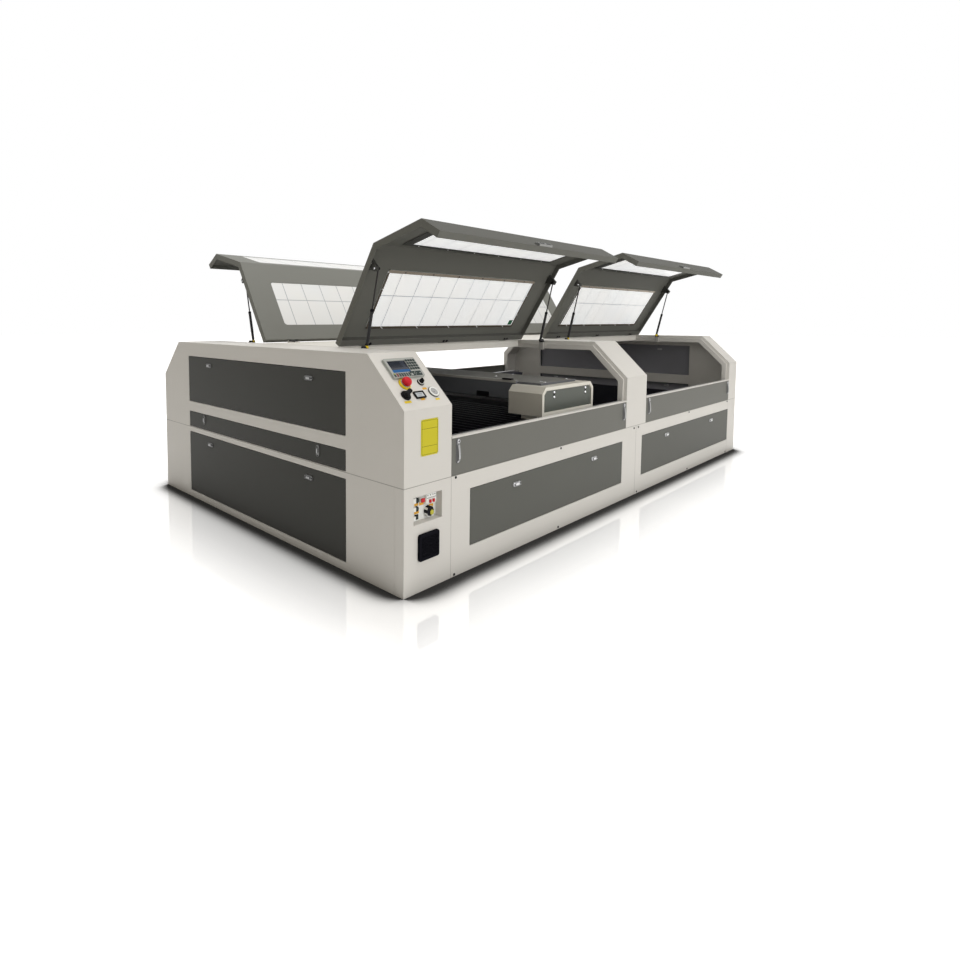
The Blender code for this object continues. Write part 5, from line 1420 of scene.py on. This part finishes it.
def dressSwitches():
    own = recessParts
    length, height = own["end"] - own["start"], own["high"] - own["low"]

    def spread(left, right, bottom, top):
        xs = (own["start"] + left * length, own["start"] + right * length)
        return xs, (own["low"] + bottom * height, own["low"] + top * height)

    def addFront(shape, place, grow, depth, stand, radius=0.002):
        xs, zs = spread(*place)
        outline = roundedOutline((xs[0] - grow, xs[1] + grow), (zs[0] - grow, zs[1] + grow), radius, 3)
        addPrism(shape, outline, "Y", depth, stand)

    black, red, orange, yellow, grey, dark = (bmesh.new() for count in range(6))
    back, front = own["plateFront"] - 0.0001, own["blockFront"]
    def addRound(shape, x, z, radius, low, high, steps=24):
        middle = Matrix.Translation((x, own["plateFront"], z)) @ Matrix.Rotation(math.pi / 2, 4, "X")
        addTurned(shape, [(0, low), (radius, low), (radius, high - 0.0015), (radius * 0.86, high), (0, high)], steps, middle)

    def addFlat(shape, xs, zs, low, high, radius=0.001):
        plateFront = own["plateFront"]
        addPrism(shape, roundedOutline(xs, zs, radius, 3), "Y", plateFront - high, plateFront - low)

    # Round button, rocker and socket in the first column, each over its label
    addRound(black, -1.9610, 0.3815, 0.0120, 0.0001, 0.0080)
    addRound(grey, -1.9610, 0.3815, 0.0070, 0.0080, 0.0095)
    addRound(black, -1.9600, 0.3450, 0.0115, 0.0001, 0.0070)
    addRound(grey, -1.9600, 0.3465, 0.0075, 0.0070, 0.0090)
    addFlat(black, (-1.9705, -1.9505), (0.3000, 0.3205), 0.0001, 0.0050)
    addFlat(grey, (-1.9660, -1.9550), (0.3050, 0.3155), 0.0050, 0.0058)
    addFlat(orange, (-1.9720, -1.9470), (0.3570, 0.3715), 0.0001, 0.0009)
    addFlat(orange, (-1.9420, -1.9130), (0.3545, 0.3690), 0.0001, 0.0009)
    addFlat(orange, (-1.9720, -1.9430), (0.3225, 0.3350), 0.0001, 0.0009)
    addFlat(orange, (-1.8820, -1.8530), (0.3335, 0.3480), 0.0001, 0.0009)
    # Red rocker on its block
    addFront(red, (0.355, 0.47, 0.70, 0.84), 0.0002, front - 0.0001, front - 0.0050)
    # Breaker: two toggles, terminals above and a line below
    for left, right in ((0.645, 0.705), (0.765, 0.825)):
        addFront(red, (left, right, 0.60, 0.72), 0, front - 0.0001, front - 0.0060, 0.001)
    for left in (0.600, 0.690, 0.780, 0.850):
        addFront(dark, (left - 0.014, left + 0.014, 0.860, 0.900), 0, front - 0.0001, front - 0.0005, 0.0008)
    addFront(dark, (0.56, 0.89, 0.775, 0.790), 0, front - 0.0001, front - 0.0004, 0.0003)
    # Black and yellow connector on its block
    xs, zs = spread(0.58, 0.80, 0.14, 0.42)
    middle = Matrix.Translation((sum(xs) / 2, back, sum(zs) / 2)) @ Matrix.Rotation(math.pi / 2, 4, "X")
    addTurned(black, [(0, 0), (0.0225, 0), (0.0225, 0.0188), (0.0180, 0.0212), (0, 0.0212)], 8, middle)
    seat = Matrix.Translation((-1.8840, back, 0.3195)) @ Matrix.Rotation(math.pi / 2, 4, "X")
    addTurned(yellow, [(0, 0.0213), (0.0125, 0.0213), (0.0115, 0.0236), (0, 0.0240)], 7, seat)
    rows = (
        ("switch_black_parts", black, "blackPlastic", "black_plastic"),
        ("switch_red_parts", red, "redPlastic", "red_plastic"),
        ("switch_labels", orange, "orangePlastic", "panel_grey"),
        ("switch_yellow_parts", yellow, "oldYellow", "panel_grey"),
        ("switch_grey_parts", grey, "keyGrey", "panel_grey"),
        ("switch_dark_parts", dark, "rubber", "black_plastic"),
    )
    for name, shape, finish, slot in rows:
        finishPiece(shape, name, finish, "frame", None, 0.0004)

    # Woven filter, fan rings and a frame over the slots of the grille
    low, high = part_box("fan_grille")
    middle = Vector(((low.x + high.x) / 2, low.y, (low.z + high.z) / 2))
    where = Matrix.Translation(middle) @ Matrix.Rotation(math.pi / 2, 4, "X")
    halfX, halfZ = (high.x - low.x) / 2 - 0.011, (high.z - low.z) / 2 - 0.011
    mesh, rings, rim = bmesh.new(), bmesh.new(), bmesh.new()
    pitch, wire = 0.0042, 0.0007
    for index in range(int(2 * halfX / pitch) + 1):
        x = -halfX + index * pitch
        addBox(mesh, (x, x + wire), (-halfZ, halfZ), (0.0002, 0.0008))
    for index in range(int(2 * halfZ / pitch) + 1):
        y = -halfZ + index * pitch
        addBox(mesh, (-halfX, halfX), (y, y + wire), (0.0004, 0.0010))
    for radius in (0.012, 0.024, 0.036, 0.045):
        addTurned(rings, [(radius - 0.0009, 0.0010), (radius + 0.0009, 0.0010), (radius + 0.0009, 0.0017), (radius - 0.0009, 0.0017)], 40)
    for turn in range(4):
        spoke = addBox(rings, (0.010, 0.047), (-0.0012, 0.0012), (0.0009, 0.0015))
        bmesh.ops.transform(rings, matrix=Matrix.Rotation((turn + 0.5) * math.pi / 2, 4, "Z"), verts=list({vert for part in spoke for vert in part.verts}))
    outline = roundedOutline((-halfX - 0.010, halfX + 0.010), (-halfZ - 0.010, halfZ + 0.010), 0.009)
    inner = roundedOutline((-halfX + 0.001, halfX - 0.001), (-halfZ + 0.001, halfZ - 0.001), 0.005)
    addFrameRing(rim, outline, inner, 0.0001, 0.0022)
    finishPiece(mesh, "filter_mesh", "rubber", "frame", where)
    finishPiece(rings, "filter_rings", "rubber", "frame", where)
    finishPiece(rim, "filter_rim", "rubber", "frame", where, 0.0005)


dressSwitches()
print("switches dressed")


# Small dark screws of the base covers
baseParts = {
    "screws": ((-1.745, 0.447), (-1.751, 0.010), (-0.859, 0.445), (-0.872, 0.012), (0.044, 0.441), (0.108, 0.441), (0.108, 0.012), (0.990, 0.445), (0.990, 0.012), (1.855, 0.445), (1.855, 0.012)),
    "radius": 0.0062,
}


def dressBase():
    own = baseParts
    screws = bmesh.new()
    for face, side in (("front", -1), ("rear", 1)):
        for x, z in own["screws"]:
            where = Matrix.Translation((x, side * machine["halfWidth"], z)) @ Matrix.Rotation(-side * math.pi / 2, 4, "X")
            screwHead(screws, where, own["radius"], 0.003)
    finishPiece(screws, "base_screws", "blackPlastic", "frame")


dressBase()
print("base dressed")


# Gantry: side covers with screw pairs, strips on the beam, drive racks on the rails
gantryParts = {
    "coverInset": 0.022,
    "coverStep": 0.006,
    "chamfer": 0.035,
    "coverThickness": 0.0015,
    "pairShares": (0.225, 0.845),
    "pairRise": 0.1145,
    "pairSpread": 0.0135,
    "screwRadius": 0.0075,
    "lipWidth": 0.0125,
    "beamEnd": 0.8297,
    "plateTop": 0.7801,
    "plateScrews": ((-0.712, 0.933), (-0.737, 0.970), (-0.455, 0.945), (-0.640, 0.560), (-0.455, 0.560)),
    "fitting": (0.735, 0.800),
    "toothPitch": 0.0126,
    "toothHeight": 0.0045,
    "rackHeight": 0.011,
    "rackWidth": 0.012,
    "rackFromRail": 0.006,
}


def dressGantry():
    own = gantryParts
    for face, side in (("front", -1), ("rear", 1)):
        name = f"gantry_{face}_housing"
        low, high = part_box(name)
        outY = low.y if side < 0 else high.y
        bottom = high.z - 0.162
        inset, chamfer = own["coverInset"], own["chamfer"]
        reach = inset + chamfer * 0.42
        outline = [
            (low.x + inset, bottom + inset),
            (low.x + inset, high.z - reach - 0.010),
            (low.x + reach + 0.010, high.z - inset),
            (high.x - reach - 0.010, high.z - inset),
            (high.x - inset, high.z - reach - 0.010),
            (high.x - inset, bottom + inset),
        ]
        cover, chrome, pulls = bmesh.new(), bmesh.new(), bmesh.new()
        depth = outY - side * own["coverStep"]
        addPrism(cover, outline, "Y", depth, depth + side * own["coverThickness"])
        finishPiece(cover, name + "_cover", "coverGrey", "gantry")
        stand = depth + side * own["coverThickness"]
        for share in own["pairShares"]:
            x = low.x + share * (high.x - low.x)
            for way in (-1, 1):
                z = bottom + own["pairRise"] + way * own["pairSpread"]
                screwHead(chrome, outward(x, stand, z, side), own["screwRadius"], 0.0032)
            pull = ovalOutline(x, bottom + own["pairRise"], 0.012, own["pairSpread"] * 2 + 0.020, 6)
            addPrism(pulls, pull, "Y", stand, stand + side * 0.0010)
        finishPiece(chrome, name + "_cover_screws", "chrome", "gantry")
        finishPiece(pulls, name + "_cover_pulls", "blackPlastic", "gantry")

    low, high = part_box("gantry_beam")
    strip = bmesh.new()
    lip = 0.0008
    outline = [
        (low.x - lip, high.z - 0.014),
        (low.x - lip, high.z + lip),
        (low.x + own["lipWidth"], high.z + lip),
        (low.x + own["lipWidth"], high.z - 0.0055),
        (low.x + own["lipWidth"] + 0.016, high.z - 0.0055),
        (low.x + own["lipWidth"] + 0.016, high.z - 0.0059),
        (low.x + own["lipWidth"] - 0.001, high.z - 0.0059),
        (low.x, high.z - 0.0062),
        (low.x, high.z - 0.014),
    ]
    addPrism(strip, outline, "Y", 0.0005 - own["beamEnd"], own["beamEnd"] - 0.0005)
    finishPiece(strip, "beam_edge_strip", "edgeGrey", "gantry")
    dark, steel = bmesh.new(), bmesh.new()
    face = low.x - 0.0002
    addPrism(dark, roundedOutline((-0.639, -0.545), (0.671, 0.704), 0.003), "X", face - 0.0012, face)
    near, far = own["fitting"]
    for way in (-1, 1):
        addBox(dark, (face - 0.006, low.x + 0.020), (way * near, way * far), (high.z + 0.0009, high.z + 0.009))
    finishPiece(dark, "beam_dark_fittings", "blackPlastic", "gantry", None, 0.001)
    for way in (-1, 1):
        for x, y in own["plateScrews"]:
            screwHead(steel, Matrix.Translation((x, way * y, own["plateTop"])), 0.0085, 0.0035)
    finishPiece(steel, "beam_screws", "chrome", "gantry")


def dressRails():
    own = gantryParts
    for face, side in (("front", -1), ("rear", 1)):
        name = f"{face}_rail"
        low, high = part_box(name)
        edge = low.y if side < 0 else high.y
        near = edge - side * own["rackFromRail"]
        far = near - side * own["rackWidth"]
        foot = high.z - 0.018 + 0.0001
        rack = bmesh.new()
        count = int((high.x - low.x - 0.02) / own["toothPitch"])
        start = low.x + 0.01
        top = foot + own["rackHeight"]
        outline = [(start, foot)]
        pitch = own["toothPitch"]
        for index in range(count):
            x = start + index * pitch
            outline += [(x, top), (x + pitch * 0.22, top), (x + pitch * 0.42, top + own["toothHeight"]), (x + pitch * 0.62, top + own["toothHeight"]), (x + pitch * 0.82, top)]
        outline += [(start + count * pitch, top), (start + count * pitch, foot)]
        addPrism(rack, outline, "Y", near, far)
        finishPiece(rack, name + "_rack", "brightSteel", "frame")
        bolts = bmesh.new()
        boltY = (low.y + high.y) / 2
        for index in range(30):
            x = low.x + 0.06 + index * (high.x - low.x - 0.12) / 29
            addTurned(bolts, [(0, 0), (0.0045, 0), (0.0045, 0.0002), (0, 0.0002)], 12, Matrix.Translation((x, boltY, high.z)))
        finishPiece(bolts, name + "_guide_bolts", "blackMetal", "frame")


def dressHead():
    low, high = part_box("laser_head")
    middle = ((low.x + high.x) / 2, (low.y + high.y) / 2)
    brass, black, lens = bmesh.new(), bmesh.new(), bmesh.new()
    addTurned(brass, [(0, low.z + 0.0002), (0.0032, low.z + 0.0002), (0.0046, low.z + 0.0012), (0.0150, low.z + 0.030), (0.0150, low.z + 0.0325), (0, low.z + 0.0325)], 28, Matrix.Translation((*middle, 0)))
    finishPiece(brass, "nozzle_sleeve", "brass", "laser_head")
    for z in (low.z + 0.037, low.z + 0.043, low.z + 0.049):
        addTurned(black, [(0.0201, z), (0.0216, z), (0.0216, z + 0.003), (0.0201, z + 0.003)], 32, Matrix.Translation((*middle, 0)))
    finishPiece(black, "head_knurl", "blackMetal", "laser_head")
    for way in (-1, 1):
        for rise in (0.066, 0.092):
            spot = Matrix.Translation((low.x, middle[1] + way * 0.021, low.z + rise)) @ Matrix.Rotation(-math.pi / 2, 4, "Y")
            screwHead(lens, spot, 0.0034, 0.002)
    finishPiece(lens, "head_screws", "blackMetal", "laser_head")


dressGantry()
dressRails()
dressHead()
print("gantry dressed")
